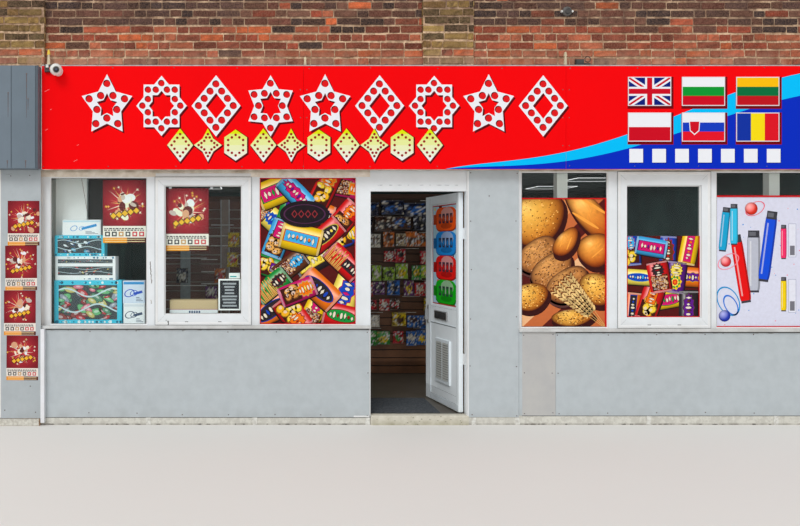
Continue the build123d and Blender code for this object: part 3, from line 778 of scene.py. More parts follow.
def sign_band(sheet):
    """A light band over a dark field, each between two smooth curves fitted through known points."""
    fit = np.polynomial.Polynomial.fit
    above, below = (fit(*np.array(line).T, 5) for line in (BAND_ABOVE, BAND_BELOW))
    joint = SHEET_JOINTS[1]
    for start, end in ((BAND_ABOVE[0][0], joint - 0.001), (joint + 0.001, SIGN_HIGH[0] - 0.002)):
        x = np.linspace(start, end, 40)
        foot = np.full(len(x), SIGN_LOW[2] + 0.002)
        low = np.maximum(below(x), foot + 0.001)
        high = np.maximum(above(x), low + 0.001)
        for under, over, ink in ((foot, low, (4, 44, 190)), (low, high, (0, 190, 250))):
            sheet.ribbon(sheet.board, x, under, over, -SKIN, 2 * STEP, ink)


def bulb_shape(sheet, outline, hollow, bulb, steps, centre):
    """A white outline shape with a dark shadow and a row of red bulbs along its stroke."""
    outer, inner = outline + centre, outline * hollow + centre
    drop = (0.016, -0.018)
    sheet.loop(outer + drop, inner + drop, 3, DEEP_RED)
    sheet.loop(outer, inner, 5, WHITE)
    for spot in along(outline * (0.5 + hollow / 2) + centre, steps):
        sheet.put(polygon(14, bulb * 1.1), 6, DEEP_RED, spot + (-0.003, 0.003))
        sheet.put(polygon(14, bulb), 8, (222, 26, 30), spot + (0.002, -0.002))


def sign_shapes(sheet):
    """Nine marquee shapes in a row, with a lower row of small yellow and white ones."""
    narrow = (0.84, 1.0)
    star5 = (star(5, 0.295, 0.165) * narrow, 0.4, 0.031, 1)
    star6 = (star(6, 0.285, 0.18) * narrow, 0.46, 0.029, 1)
    star8 = (star(8, 0.28, 0.215) * narrow, 0.5, 0.027, 1)
    lozenge = (polygon(4, 0.285) * (0.8, 1.0), 0.42, 0.03, 3)
    for k, kind in enumerate((star5, star8, lozenge, star6, star5, lozenge, star8, star5, lozenge)):
        bulb_shape(sheet, *kind, (-3.19 + 0.507 * k, 2.99))
    small = (
        (polygon(4, 0.155) * (0.78, 1.0), 3),
        (star(4, 0.155, 0.085) * narrow, 2),
        (polygon(6, 0.145, math.pi / 6) * narrow, 2),
    )
    pale, yellow = inks_of((240, 240, 235), (222, 232, 10))
    for k in range(10):
        outline, steps = small[k % 3]
        x, z = centre = np.array((-2.51 + 0.258 * k, 2.625))
        sheet.put(outline * 1.08, 10, DEEP_RED, centre + (0.007, -0.009))
        for band in range(6):
            bottom = z - 0.156 + band * 0.052
            part = clipped(outline + centre, x - 1, x + 1, bottom, bottom + 0.052)
            sheet.put(part, 11, pale * (1 - band / 5) + yellow * band / 5)
        for spot in along(outline * 0.66 + centre, steps):
            sheet.put(polygon(8, 0.0125), 13, (150, 16, 24), spot)
    for k in range(7):
        x = 1.667 + 0.213 * k
        sheet.put(rectangle(x + 0.006, x + 0.133, 2.457, 2.584), 4, (2, 20, 110))
        sheet.put(rectangle(x, x + 0.127, 2.463, 2.59), 6, WHITE)


FLAG_WIDTH, FLAG_HEIGHT, FLAG_EDGE = 0.402, 0.27, 0.008
RED_FLAG = (204, 10, 34)


def flag(sheet, x, z, paint):
    """A flag with a pale border over a soft stepped shadow. The paint function draws its stripes."""
    x1, z1 = x + FLAG_WIDTH, z + FLAG_HEIGHT
    for grow, level, tint in ((0.016, 3, 0.55), (0.009, 4, 0.3)):
        shadow = rectangle(x + 0.012 - grow, x1 + grow + 0.006, z - 0.012 - grow, z1)
        sheet.put(shadow, level, srgb(150, 8, 20) * tint * 1.6)
    sheet.put(rectangle(x, x1, z, z1), 7, (226, 220, 226))
    paint(sheet, x + FLAG_EDGE, x1 - FLAG_EDGE, z + FLAG_EDGE, z1 - FLAG_EDGE)


def striped(*tints, upright=False):
    """A painter of even stripes, from the top down or from the left."""

    def paint(sheet, x0, x1, z0, z1):
        ends = np.linspace(0, 1, len(tints) + 1)
        for a, b, ink in zip(ends, ends[1:], tints):
            if upright:
                area = rectangle(x0 + (x1 - x0) * a, x0 + (x1 - x0) * b, z0, z1)
            else:
                area = rectangle(x0, x1, z1 - (z1 - z0) * b, z1 - (z1 - z0) * a)
            sheet.put(area, 9, ink)

    return paint


def crossed(sheet, x0, x1, z0, z1):
    """A blue field with white and red diagonals under an upright cross."""
    sheet.put(rectangle(x0, x1, z0, z1), 9, (8, 30, 120))
    x, z = centre = np.array(((x0 + x1) / 2, (z0 + z1) / 2))
    slope = math.atan2(z1 - z0, x1 - x0)
    for level, half, ink in ((10, 0.026, WHITE), (12, 0.009, RED_FLAG)):
        for k, angle in enumerate((slope, -slope)):
            arm = turned(rectangle(-0.4, 0.4, -half, half), angle, centre)
            sheet.put(clipped(arm, x0, x1, z0, z1), level + k, ink)
    for level, half, ink in ((14, 0.042, WHITE), (16, 0.024, RED_FLAG)):
        sheet.put(rectangle(x0, x1, z - half, z + half), level, ink)
        sheet.put(rectangle(x - half, x + half, z0, z1), level + 1, ink)


def shielded(sheet, x0, x1, z0, z1):
    """Three stripes with a plain red shield at the left."""
    striped(WHITE, (20, 60, 190), (228, 20, 40))(sheet, x0, x1, z0, z1)
    shield = np.array(((0, -0.075), (0.045, -0.035), (0.052, 0.06), (-0.052, 0.06), (-0.045, -0.035)))
    centre = (x0 + 0.11, (z0 + z1) / 2)
    sheet.put(shield, 10, WHITE, centre)
    sheet.put(shield * 0.84, 12, (206, 14, 34), centre)


def make_sign():
    """Everything printed on the sign, its edge trims and a few scratches."""
    board = front_board(SIGN_Y)
    sheet = Sheet(board)
    sign_band(sheet)
    sign_shapes(sheet)
    rows = (
        (2.990, (crossed, striped(WHITE, (10, 150, 50), RED_FLAG),
                 striped((250, 190, 10), (6, 110, 60), (190, 20, 30)))),
        (2.658, (striped(WHITE, RED_FLAG), shielded,
                 striped((16, 50, 160), (246, 220, 20), (220, 20, 36), upright=True))),
    )
    for z, paints in rows:
        for x, paint in zip((1.654, 2.155, 2.660), paints):
            flag(sheet, x, z, paint)
    sheet.piece("sign_graphics", "sign ink", "sign_red")
    trims = Sheet(board)
    left, right, foot, head = SIGN_LOW[0], SIGN_HIGH[0], SIGN_LOW[2], SIGN_HIGH[2]
    for area, ink in (
        ((left - 0.002, left + 0.007, foot, head), (214, 196, 196)),
        ((right - 0.007, right + 0.002, foot, head), (214, 196, 196)),
        ((left, right, head - 0.006, head + 0.002), (196, 190, 190)),
    ):
        trims.block(board, *area, -0.006, 0.002, ink)
    for x, z, length in (
        (-3.77, 3.12, 0.05), (-3.72, 2.95, 0.02), (-3.765, 2.76, 0.03), (-3.5, 2.47, 0.04),
        (-3.47, 2.62, 0.02),
    ):
        trims.put(rectangle(0, length, 0, 0.003), 2, (250, 150, 150), (x, z), 0.5)
    trims.piece("sign_trims", "small fittings", "flashing")


make_sign()


# Prints and posters
CREAM, BORDER_RED, DARK_PLUM = (240, 228, 204), (206, 10, 20), (24, 18, 28)
BRIGHT = inks_of(
    (10, 70, 190), (252, 206, 10), (104, 54, 28), (60, 176, 236), (214, 14, 110), (222, 14, 20),
    (10, 150, 60), (246, 120, 10), (40, 34, 40), (96, 20, 140), (250, 226, 90), (150, 12, 24),
)
# For each food: the size of one bit and its inks
FOODS = {
    "rounds": (0.05, inks_of((236, 172, 84), (214, 140, 64))),
    "nuts": (0.015, inks_of((214, 140, 70), (160, 84, 40), (244, 196, 132), (120, 56, 30))),
    "crisps": (0.045, inks_of((255, 216, 60), (250, 184, 30))),
}
# For each thing baked: its light, middle and dark inks
CRUSTS = {
    "loaf": inks_of((255, 192, 80), (214, 114, 18), (88, 28, 4)),
    "bun": inks_of((255, 168, 66), (204, 88, 12), (76, 18, 2)),
    "slice": inks_of((216, 150, 82), (174, 104, 48), (70, 34, 24)),
}


def stacked(spots, loose=False):
    """For each circle of (x, z, radius), a step that no earlier one it touches has: the next one
    above them all, or the lowest free one where the pile is loose."""
    steps = []
    for x, z, radius in spots:
        near = {s for s, (a, b, c) in zip(steps, spots) if math.hypot(x - a, z - b) < radius + c}
        free = min(set(range(len(spots) + 1)) - near)
        steps.append(free if loose else max(near, default=-1) + 1)
    return steps


def filling(put, kind, half, tall):
    """The food shown on a packet: round biscuits, sticks, nuts, crisps or a plain swirl of rings."""
    if kind == "rings":
        for k, (share, tone) in enumerate(((0.84, 1), (0.66, 6), (0.5, 10), (0.34, 5), (0.18, 7))):
            put(star(9, 1, 0.8, k) * tall * share * (1, 0.85) + (-half * 0.3, 0), 3 + k, BRIGHT[tone])
        return
    if kind == "sticks":
        for x in np.arange(-half * 0.84, half * 0.1, 0.013):
            top, lean, foot = tall * draw.uniform(0.3, 0.95), draw.normal(0, 0.012), -tall * 0.95
            for a, b, step, ink in ((0.0, 0.0105, 3, (190, 110, 40)), (0.002, 0.0065, 4, (255, 206, 110))):
                stick = np.array(((x + a, foot), (x + b, foot), (x + b + lean, top), (x + a + lean, top)))
                put(stick, step, srgb(*ink) * draw.uniform(0.7, 1.1))
        return
    put(rectangle(-half * 0.84, half * 0.14, -tall * 0.8, tall * 0.78), 3, (64, 20, 12))
    size, inks = FOODS[kind]
    for x in np.arange(-half * 0.8 + size, half * 0.14, size * 1.2):
        for z in np.arange(-tall * 0.74 + size, tall * 0.72, size * 1.2):
            spot = np.array((x, z)) + draw.normal(0, size * 0.3, 2)
            squash, way = draw.uniform(0.6, 0.95), draw.uniform(0, 3)
            ink = inks[draw.integers(len(inks))]
            bit = ((1.0, 0, ink * 0.3), (0.84, 0.05, ink), (0.4, 0.25, ink * 0.5 + 0.4))
            for k, (share, shift, tint) in enumerate(bit):
                part = polygon(9, size * share, squash=squash)
                put(turned(part, way, spot + (-size * shift, size * shift)), 4 + k, tint)
            if kind == "rounds":
                for chip in draw.normal(0, size * 0.4, (6, 2)):
                    put(polygon(5, size * 0.14) + spot + chip, 7, (50, 20, 12))


def snack(sheet, centre, length, width, angle, level, inks, kind):
    """A printed packet: a dark outline, a body with a dark lower side and a light upper one, crimped
    ends, its food and a blank label in another ink."""
    body, label, third = inks
    half, tall = length / 2, width / 2

    def put(outline, step, ink):
        sheet.put(outline, level + step, ink, centre, angle)

    def ink_at(offset, share):
        across = (offset @ np.array((-math.sin(angle), math.cos(angle)))) * half / tall
        shine = np.exp(-(((across - 0.45) / 0.16) ** 2)) * 0.38
        shade = np.clip(-across - 0.35, 0, 1) * 0.9
        return body * (1 - np.clip(shade + share**8 * 0.35, 0, 0.85))[:, None] + shine[:, None]

    bag = pillow(40, 0.22) * (half, tall)
    put(bag * 1.03 + (0.004, -0.007), 0, (20, 10, 14))
    sheet.film(turned(bag, angle, centre), level + 1, ink_at)
    for end in (-half, half):
        for share in (0.9, 0.935, 0.97):
            x = end * share
            put(rectangle(x - 0.002, x + 0.002, -tall * 0.96, tall * 0.96), 2, body * 0.5 + 0.3)
    plain = kind == "plain"
    if not plain:
        filling(put, kind, half, tall)
    middle, reach = (0.0, half * 0.8) if plain else (half * 0.46, half * 0.42)
    shape = (polygon(20, 1.0), rectangle(-1, 1, -0.85, 0.85), star(12, 1.1, 0.86))[draw.integers(3)]
    grow = tall * draw.uniform(0.42, 0.66)
    put(shape * (reach * 1.08, grow * 1.14) + (middle, 0), 7, third * 0.6)
    put(shape * (reach, grow) + (middle, 0), 8, label)
    count = round(reach / tall * 3) + 3
    for k in range(count):
        x = middle + reach * 0.74 * (2 * k / (count - 1) - 1)
        bead = polygon((4, 10)[k % 2], 1.0) * (reach * 0.6 / count, grow * draw.uniform(0.25, 0.6))
        put(bead * 1.25 + (x + 0.002, -0.003), 9, label * 0.2)
        put(bead + (x, grow * draw.uniform(-0.12, 0.12)), 10, (CREAM, third)[k % 3 == 2])


def packet_picture(sheet, columns, rows, length, angles, order, kinds):
    """Large bright packets laid over one another on a loose grid, in a given order of inks."""
    sheet.fill(1, (84, 12, 14))
    spots = []
    for j in range(rows):
        for i in range(columns):
            right, up = draw.uniform(-0.16, 0.16, 2) + (i + 0.38 + (j % 2) * 0.25, j + 0.5)
            spots.append((*sheet.at(right / columns, up / rows), length * 0.5))
    for k, ((*spot, _), step) in enumerate(zip(spots, stacked(spots, loose=True))):
        main = order[k % len(order)]
        inks = BRIGHT[[main, (main + 1 + k % 3) % 12, (main + 5 + k % 2) % 12]]
        angle = angles[k % len(angles)] + draw.normal(0, 0.12)
        size = length * draw.uniform(0.92, 1.12)
        wide = size * draw.uniform(0.5, 0.72)
        snack(sheet, spot, size, wide, angle, 2 + step * 11, inks, kinds[k % len(kinds)])


def baked(sheet, centre, size, angle, level, kind):
    """A loaf, bun or slice as a smoothly shaded film: lightest towards the upper left, darkest at
    its rim, with slashes, seeds or crumbs on top and a dark shadow below."""
    light, middle, dark = CRUSTS[kind]
    sliced = kind == "slice"
    wave = np.sin(3 * np.linspace(0, 2 * math.pi, 32, endpoint=False) + angle)
    shape = polygon(32, 1.0) * size * (1 + 0.05 * wave)[:, None]

    def ink_at(offset, share):
        glow = np.clip(1 - np.linalg.norm(offset + (0.3, -0.35), axis=1) / 1.25, 0, 1)[:, None]
        rim = share[:, None] ** (7 if sliced else 3.5)
        shine = glow**8 * (0.0 if sliced else np.array((0.4, 0.3, 0.14)))
        grain = 1 + draw.normal(0, 0.16 if sliced else 0.06, (len(share), 1))
        return ((middle + (light - middle) * glow * 1.4) * (1 - rim) + dark * rim + shine) * grain

    centre = np.array(centre)
    sheet.put(shape * 1.07, level, (54, 10, 12), centre + (0.018, -0.04), angle)
    if sliced:
        for drop, tint in ((0.040, (92, 54, 50)), (0.020, (142, 94, 76))):
            sheet.put(shape, level + 1, tint, centre + (-0.006, -drop), angle)
    sheet.film(turned(shape, angle, centre), level + 2, ink_at)
    if kind == "bun":
        span = max(size)
        for side in (-span, span):
            cut = polygon(14, span * 0.42, squash=0.1) + (0, side * 0.22)
            sheet.put(cut, level + 3, light * 1.05, centre, angle + 0.3)
        return
    for spot in draw.uniform(-1, 1, (260 if sliced else 300, 2)):
        if np.hypot(*spot) < 0.84:
            seed = polygon(5, draw.uniform(0.004, 0.01), draw.uniform(0, 3), 0.6) + spot * size
            tint = (dark * 0.7, middle * 0.6, light * 1.1 + 0.08)[draw.integers(3)]
            sheet.put(seed, level + 3, tint, centre, angle)


def stalks(sheet, foot, angle, level):
    """Ears of corn: a thin stem with a pair of pointed grains at each step."""
    for lean in (-0.16, -0.05, 0.06, 0.17):
        way = angle + lean
        sheet.put(rectangle(0, 0.62, -0.002, 0.002), level, (236, 190, 110), foot, way)
        for k in range(13):
            for side in (-1, 1):
                grain = turned(polygon(7, 0.031, squash=0.34), 0.5 * side, (0.26 + 0.031 * k, 0.013 * side))
                tint = srgb(255, 214, 140) * draw.uniform(0.5, 1.1)
                step = level + 1 + 2 * (k % 2)
                sheet.put(grain * 1.02 + (0.003, -0.003), step, (110, 54, 20), foot, way)
                sheet.put(grain, step + 1, tint, foot, way)


def bakery_picture(sheet):
    """Loaves, buns, slices and ears of corn in golden and deep brown tones on a warm board."""
    sheet.fill(1, (206, 110, 60))
    for k, tint in enumerate(((92, 24, 20), (246, 190, 140), (84, 20, 18), (236, 150, 90))):
        sheet.put(rectangle(-1, 1, -0.06, 0.06), 2, tint, sheet.at(0.5, 0.1 + 0.27 * k), 0.75)
    things = (
        (0.16, 0.84, 0.30, 0.24, 0.5, "loaf"), (0.80, 0.88, 0.36, 0.13, -0.85, "bun"),
        (0.86, 0.60, 0.17, 0.16, 0.4, "bun"), (0.20, 0.56, 0.21, 0.15, 0.75, "slice"),
        (0.36, 0.44, 0.22, 0.15, 0.7, "slice"), (0.54, 0.33, 0.22, 0.15, 0.65, "slice"),
        (0.90, 0.30, 0.19, 0.15, -0.3, "loaf"), (0.10, 0.24, 0.18, 0.13, 0.2, "loaf"),
        (0.52, 0.66, 0.16, 0.09, 0.9, "bun"), (0.60, 0.08, 0.2, 0.08, 0.1, "loaf"),
    )
    spots = [(*sheet.at(u, v), a) for u, v, a, *_ in things]
    for (*spot, _), step, (_, _, a, b, angle, kind) in zip(spots, stacked(spots), things):
        baked(sheet, spot, (a, b), angle, 3 + 4 * step, kind)
    stalks(sheet, sheet.at(1.02, 0) - (0, 0.03), 2.35, 34)


def bar_picture(sheet):
    """Leaning round-ended bars with dark caps, small boxes, loops and round fruits on a pale field."""
    sheet.fill(1, (222, 224, 242))
    for share in ((0.605, 0.24), (0.605, 0.66), (0.93, 0.22)):
        for level, ink, *area in (
            (2, (176, 180, 204), -0.04, 0.035, -0.16, 0.16),
            (3, (232, 234, 246), -0.035, 0.03, -0.155, 0.155),
            (4, (120, 120, 130), -0.025, 0.02, -0.14, -0.05),
        ):
            sheet.put(rectangle(*area), level, ink, sheet.at(*share))
    for k, (u, v, width, length, tilt, ink) in enumerate((
        (0.30, 0.50, 0.125, 0.56, 0.0, (190, 194, 208)), (0.20, 0.44, 0.112, 0.62, 0.16, (236, 6, 10)),
        (0.41, 0.62, 0.112, 0.64, -0.13, (6, 78, 224)), (0.535, 0.24, 0.056, 0.31, 0.0, (250, 214, 10)),
        (0.07, 0.76, 0.08, 0.40, -0.1, (16, 166, 214)), (0.145, 0.80, 0.074, 0.37, 0.0, (50, 196, 236)),
        (0.535, 0.66, 0.056, 0.31, 0.0, (250, 50, 110)), (0.74, 0.50, 0.112, 0.62, 0.1, (20, 160, 80)),
        (0.90, 0.66, 0.10, 0.56, -0.1, (240, 120, 20)), (0.86, 0.22, 0.056, 0.31, 0.0, (150, 60, 190)),
    )):
        tint, bar = srgb(*ink), pillow(20, 0.3)
        for step, (outline, colour) in enumerate((
            (bar, tint * 0.55), (bar * (0.8, 0.985) - (0.12, 0), tint),
            (rectangle(-0.62, -0.36, -0.8, 0.72), tint * 0.6 + 0.38),
            (rectangle(-0.86, 0.86, 0.84, 1.08), (58, 60, 68)),
            (rectangle(-0.7, 0.3, 0.9, 1.03), (104, 106, 114)),
            (rectangle(-0.8, 0.8, -1.02, -0.95), (60, 60, 70)),
        )):
            spot, level = sheet.at(u, v * 0.94) + (0, 0.03), 5 + 6 * (k % 3) + step
            sheet.put(outline * (width / 2, length / 2), level, colour, spot, tilt)
    for u, v, radius, squash, ink in (
        (0.10, 0.20, 0.10, 1.5, (10, 150, 214)), (0.12, 0.17, 0.06, 1.8, (40, 120, 220)),
        (0.10, 0.50, 0.11, 0.6, (250, 140, 160)), (0.31, 0.90, 0.10, 0.6, (240, 90, 110)),
    ):
        loop, spot = turned(polygon(26, radius, squash=squash), 0.5), sheet.at(u, v)
        sheet.loop(loop + spot, loop * (1 - 0.009 / radius) + spot, 24, ink)

    def fruit(ink):
        def ink_at(offset, share):
            glow = np.clip(1 - np.linalg.norm(offset + (0.3, -0.35), axis=1), 0, 1)[:, None]
            return srgb(*ink) * (1 - 0.6 * share[:, None] ** 3) + glow * 0.5

        return ink_at

    for u, v, radius, ink in (
        (0.07, 0.09, 0.055, (30, 60, 190)), (0.28, 0.90, 0.06, (240, 50, 30)),
        (0.08, 0.5, 0.05, (236, 60, 70)),
    ):
        sheet.film(polygon(24, radius) + sheet.at(u, v), 26, fruit(ink))
    for _ in range(46):
        drop = polygon(6, draw.uniform(0.003, 0.008)) + sheet.at(*draw.random(2))
        sheet.put(drop, 2, ((80, 150, 220), (240, 150, 170))[draw.integers(2)])


def print_board(depth, *place):
    """A board for a print that lies a hair in front of a plane that faces the street."""
    return front_board(depth - SKIN - 0.0003, *place)


def poster(sheet, depth, x, z, wide, tall, tilt=0.0, gain=1.0):
    """A printed sheet: a red field with a pale burst, a strip of plain blocks and an orange foot. The gain
    brightens its inks as painted light where a poster stands in shade behind the glass.
    """
    sheet.board, sheet.area = print_board(depth, x, z, tilt), (0, wide, 0, tall)
    foot, strip = tall * 0.085, tall * 0.27
    centre = np.array((wide / 2, tall * 0.62))

    def put(outline, level, ink, spot=(0, 0), angle=0.0):
        sheet.put(outline, level, np.minimum(linear(ink) * gain, 0.95), spot, angle)

    put(rectangle(0, wide, 0, tall), 1, (232, 224, 214))
    put(rectangle(0, wide, strip, tall), 2, (108, 12, 24))
    for k in range(9):
        glow = polygon(28, wide * (0.62 - 0.055 * k), squash=1 + 0.3 * (8 - k) / 8) + centre
        glow[:, 1] = np.maximum(glow[:, 1], strip)
        put(glow, 2.2 + k * 0.3, (114 + 9.5 * k, 13 + 4.5 * k, 26 + 4 * k))
    for k in range(22):
        way = 2 * math.pi * k / 22 + draw.normal(0, 0.1)
        ray = np.array(((0.1, -0.011), (draw.uniform(0.3, 0.5), 0), (0.1, 0.011))) * wide
        put(ray, 6, (CREAM, (236, 120, 90), (250, 200, 110))[k % 3], centre, way)
    for k in range(18):
        spot = centre + draw.normal(0, 0.14, 2) * wide
        puff = polygon(10, wide * draw.uniform(0.05, 0.12), squash=draw.uniform(0.4, 1))
        ink = (CREAM, (96, 34, 34), (214, 160, 124), WHITE, (196, 180, 170))[k % 5]
        put(puff, 7 + k * 0.5, ink, spot, k)
    for k in range(12):
        angle = draw.uniform(0, 6.28)
        spot = centre + wide * draw.uniform(0.34, 0.47) * np.array((math.cos(angle), math.sin(angle)))
        put(star(4, wide * 0.04, wide * 0.014, angle), 7, (CREAM, (236, 184, 70))[k % 2], spot)
    for k in range(5):
        spot = centre + wide * np.array((-0.26 + 0.13 * k, -0.27 + 0.03 * k))
        put(polygon(4, wide * 0.095), 17, (70, 26, 16), spot)
        put(polygon(4, wide * 0.07), 18, (240, 180, 50), spot)
    for row in range(2):
        at = wide * 0.03
        low = strip - tall * (0.05 + 0.025 * row)
        while at < wide * 0.92:
            step = wide * draw.uniform(0.03, 0.07)
            put(rectangle(at, at + step, low, low + tall * 0.017), 2, (44, 40, 44))
            at += step + wide * 0.02
    dark, red = (40, 36, 40), (196, 30, 50)
    for k, ink in enumerate((dark, dark, (190, 140, 80), (60, 56, 60), red, red)):
        start = wide * (0.05 + 0.155 * k)
        block = rectangle(start, start + wide * 0.11, foot + tall * 0.02, strip - tall * 0.09)
        put(block, 2, ink)
        put(block * 0.5 + block.mean(0) * 0.5, 3, (232, 224, 214))
    put(rectangle(0, wide, 0, foot), 2, (84, 34, 26))
    put(rectangle(0, wide * 0.55, 0, foot), 3, (230, 144, 24))
    for low in (0.02, 0.055):
        put(rectangle(wide * 0.04, wide * 0.95, tall * low, tall * (low + 0.009)), 4, (246, 220, 170))


def blank_oval(sheet):
    """A dark oval sign on a film, with a dim ring and four plain lozenges."""
    centre = np.array((-1.344, 1.99))
    sheet.put(polygon(40, 0.235, squash=0.54), 110, DARK_PLUM, centre)
    dim = polygon(40, 0.2, squash=0.46)
    sheet.loop(dim + centre, dim * 0.93 + centre, 112, (80, 40, 76))
    for x in (-0.096, -0.032, 0.032, 0.096):
        sheet.put(polygon(4, 0.03, squash=1.3), 112, (150, 44, 50), centre + (x, 0))
        sheet.put(polygon(4, 0.02, squash=1.3), 113, DARK_PLUM, centre + (x, 0))


def film(pane, top):
    """An empty film on a pane, cut to whole millimetres, in from its edges and up to a height."""
    x0, x1, z0, _ = PANES[pane]
    area = np.round((x0 + FILM_EDGE, x1 - FILM_EDGE, z0 + FILM_EDGE, top), 3)
    return Sheet(print_board(GLASS_Y), tuple(area))


def make_prints():
    """The films on the windows and the posters on the pilasters and behind the glass."""
    sheet = film("left of door", 2.337)
    order = (7, 5, 1, 5, 6, 4, 7, 10, 6, 2, 8, 5, 3, 1, 5, 0, 10, 6, 7, 5, 1, 3, 5, 4)
    kinds = ("plain", "crisps", "nuts", "plain", "sticks", "rounds", "plain")
    packet_picture(sheet, 4, 6, 0.37, (0.45, -0.75, 1.25, -0.3, 0.9), order, kinds)
    sheet.border(0.012, BORDER_RED, level=108)
    blank_oval(sheet)
    sheet.piece("left_packet_print", "film ink", "door_print")

    sheet = film("right of door", 2.143)
    bakery_picture(sheet)
    sheet.border(0.012, BORDER_RED, sides="t")
    sheet.border(0.021, BORDER_RED, level=81, sides="r")
    sheet.piece("bakery_print", "film ink", "door_print")

    sheet = film("right casement", 1.782)
    order = (7, 5, 1, 8, 10, 5, 9, 7, 0, 3, 0, 1)
    kinds = ("plain", "crisps", "plain", "plain", "plain", "nuts", "rings")
    packet_picture(sheet, 4, 3, 0.3, (1.57, 1.35, 0.12, 1.75, -0.15), order, kinds)
    sheet.border(0.012, BORDER_RED, level=108, sides="lrb")
    sheet.piece("right_packet_print", "film ink", "door_print")

    sheet = film("far right", 2.167)
    bar_picture(sheet)
    sheet.border(0.016, BORDER_RED, sides="tb")
    sheet.piece("bar_print", "film ink", "door_print")

    for side in ("left", "right"):
        sheet = Sheet(None)
        for x, z, tilt in (
            (-4.13, 1.692, 0.0), (-4.152, 1.272, 0.006), (-4.165, 0.852, 0.0), (-4.143, 0.431, -0.006),
        ):
            poster(sheet, PILASTER_Y, x if side == "left" else -x - 0.297, z, 0.297, 0.418, tilt)
        sheet.piece(f"{side}_posters", "paper ink", "door_print")

    behind, sheet = GLASS_Y + 0.032, Sheet(None)
    # The posters behind the glass have brighter inks: painted light for the shade they stand in.
    poster(sheet, behind, -3.262, 1.716, 0.419, 0.598, gain=1.2)
    poster(sheet, behind, -2.665, 1.641, 0.41, 0.598, gain=1.2)
    sheet.board, sheet.area = print_board(behind), None
    notice = -2.057
    sheet.put(rectangle(-0.105, 0.105, 1.075, 1.373), 1, (255, 255, 255), (notice, 0))
    sheet.put(rectangle(-0.091, 0.091, 1.089, 1.359), 2, (40, 42, 48), (notice, 0))
    for k in range(8):
        half = draw.uniform(0.03, 0.075)
        sheet.put(rectangle(-half, half, 1.11, 1.126), 3, (170, 174, 180), (notice, 0.03 * k))
    sheet.put(rectangle(-2.062, -1.957, 1.378, 1.43), 1, (250, 255, 252))
    sheet.put(rectangle(-2.052, -1.99, 1.39, 1.402), 2, (60, 170, 170))
    sheet.block(sheet.board, -2.633, -2.214, 2.236, 2.252, -0.004, 0.006, (40, 40, 42))
    for x in (-2.633, -2.24):
        sheet.block(sheet.board, x, x + 0.026, 2.232, 2.258, -0.004, 0.009, WHITE)
    sheet.piece("window_posters", "paper ink", "door_print")


make_prints()


# Goods on the window ledge
TEAL, BOX_WHITE, BOX_BLUE = inks_of((70, 206, 236), (250, 252, 255), (40, 150, 220))


def toy_face(edge, count, *inks, rows=((0.0, 1.0),)):
    """A painter of a box with clear windows: a wavy edge, dark fields and dark-edged bright toys, each with a
    small painted highlight.
    """

    def paint(sheet, width, height):
        sheet.area = (0.004, width - 0.004, 0.004, height - 0.004)
        for k in range(40):
            spot = (draw.uniform(0, width), draw.choice((edge * 0.5, height - edge * 0.5)))
            fleck = polygon(5, draw.uniform(0.004, edge * 0.4), draw.uniform(0, 3))
            sheet.put(fleck, 1, ((240, 252, 255), (20, 120, 160))[k % 2], spot)
        for low, high in rows:
            z0, z1 = edge + (height - 2 * edge) * low, edge + (height - 2 * edge) * high
            tall = z1 - z0
            sheet.area = (edge, width - edge, z0, z1)
            sheet.fill(2, (64, 74, 80))
            for k in range(count):
                spot = sheet.at(*draw.random(2))
                toy = polygon(9, tall * draw.uniform(0.08, 0.2), squash=draw.uniform(0.3, 0.6))
                angle, level, tint = draw.uniform(-0.8, 0.8), 3 + 3 * k % 30, srgb(*inks[k % len(inks)])
                sheet.put(toy * 1.15, level, tint * 0.25, spot, angle)
                sheet.put(toy, level + 1, tint, spot, angle)
                # A paler patch a little above each toy's middle is a painted highlight.
                sheet.put(toy * 0.4, level + 2, tint * 0.5 + 0.45, spot + (0, 0.004), angle)
            wave = np.linspace(edge, width - edge, 30)
            for k in range(2):
                middle = z0 + tall * (0.78 - 0.45 * k) + 0.12 * tall * np.sin(wave / width * 9 + 2 * k)
                foot = np.clip(middle - tall * 0.02, z0, z1 - 0.002)
                head = np.minimum(foot + tall * 0.045, z1)
                sheet.ribbon(sheet.board, wave, foot, head, -SKIN, (36 + k) * STEP, (206, 228, 236))

    return paint


def plain_face(ink, top_ink):
    """A painter of a plain box with a drawn swirl and a coloured top strip."""

    def paint(sheet, width, height):
        sheet.put(rectangle(0.008, width - 0.008, height * 0.84, height * 0.95), 1, top_ink)
        for k, share in enumerate((0.3, 0.5)):
            middle = (width * share, height * 0.45)
            ring = turned(polygon(24, height * (0.24 - 0.06 * k), squash=0.7), 0.4)
            sheet.loop(ring + middle, ring * 0.8 + middle, 2 + k, ink)
        sheet.put(rectangle(0, width * 0.4, -0.012, 0.012), 4, ink, (width * 0.5, height * 0.42), 0.25)
        for k in range(3):
            z = height * (0.1 + 0.07 * k)
            bar = rectangle(width * 0.6, width * (0.92 - 0.08 * k), z, z + height * 0.03)
            sheet.put(bar, 2, (110, 120, 140))

    return paint


def tan_face(sheet, width, height):
    """A plain tan box with a pale foot, a thin red line and small marks."""
    sheet.put(rectangle(0, width, 0, height * 0.64), 1, BOX_WHITE)
    sheet.put(rectangle(0, width, height * 0.6, height * 0.64), 2, (196, 150, 140))
    for k in range(5):
        x = width * (0.4 + 0.05 * k)
        sheet.put(rectangle(x, x + width * 0.035, height * 0.47, height * 0.56), 2, (60, 80, 120))


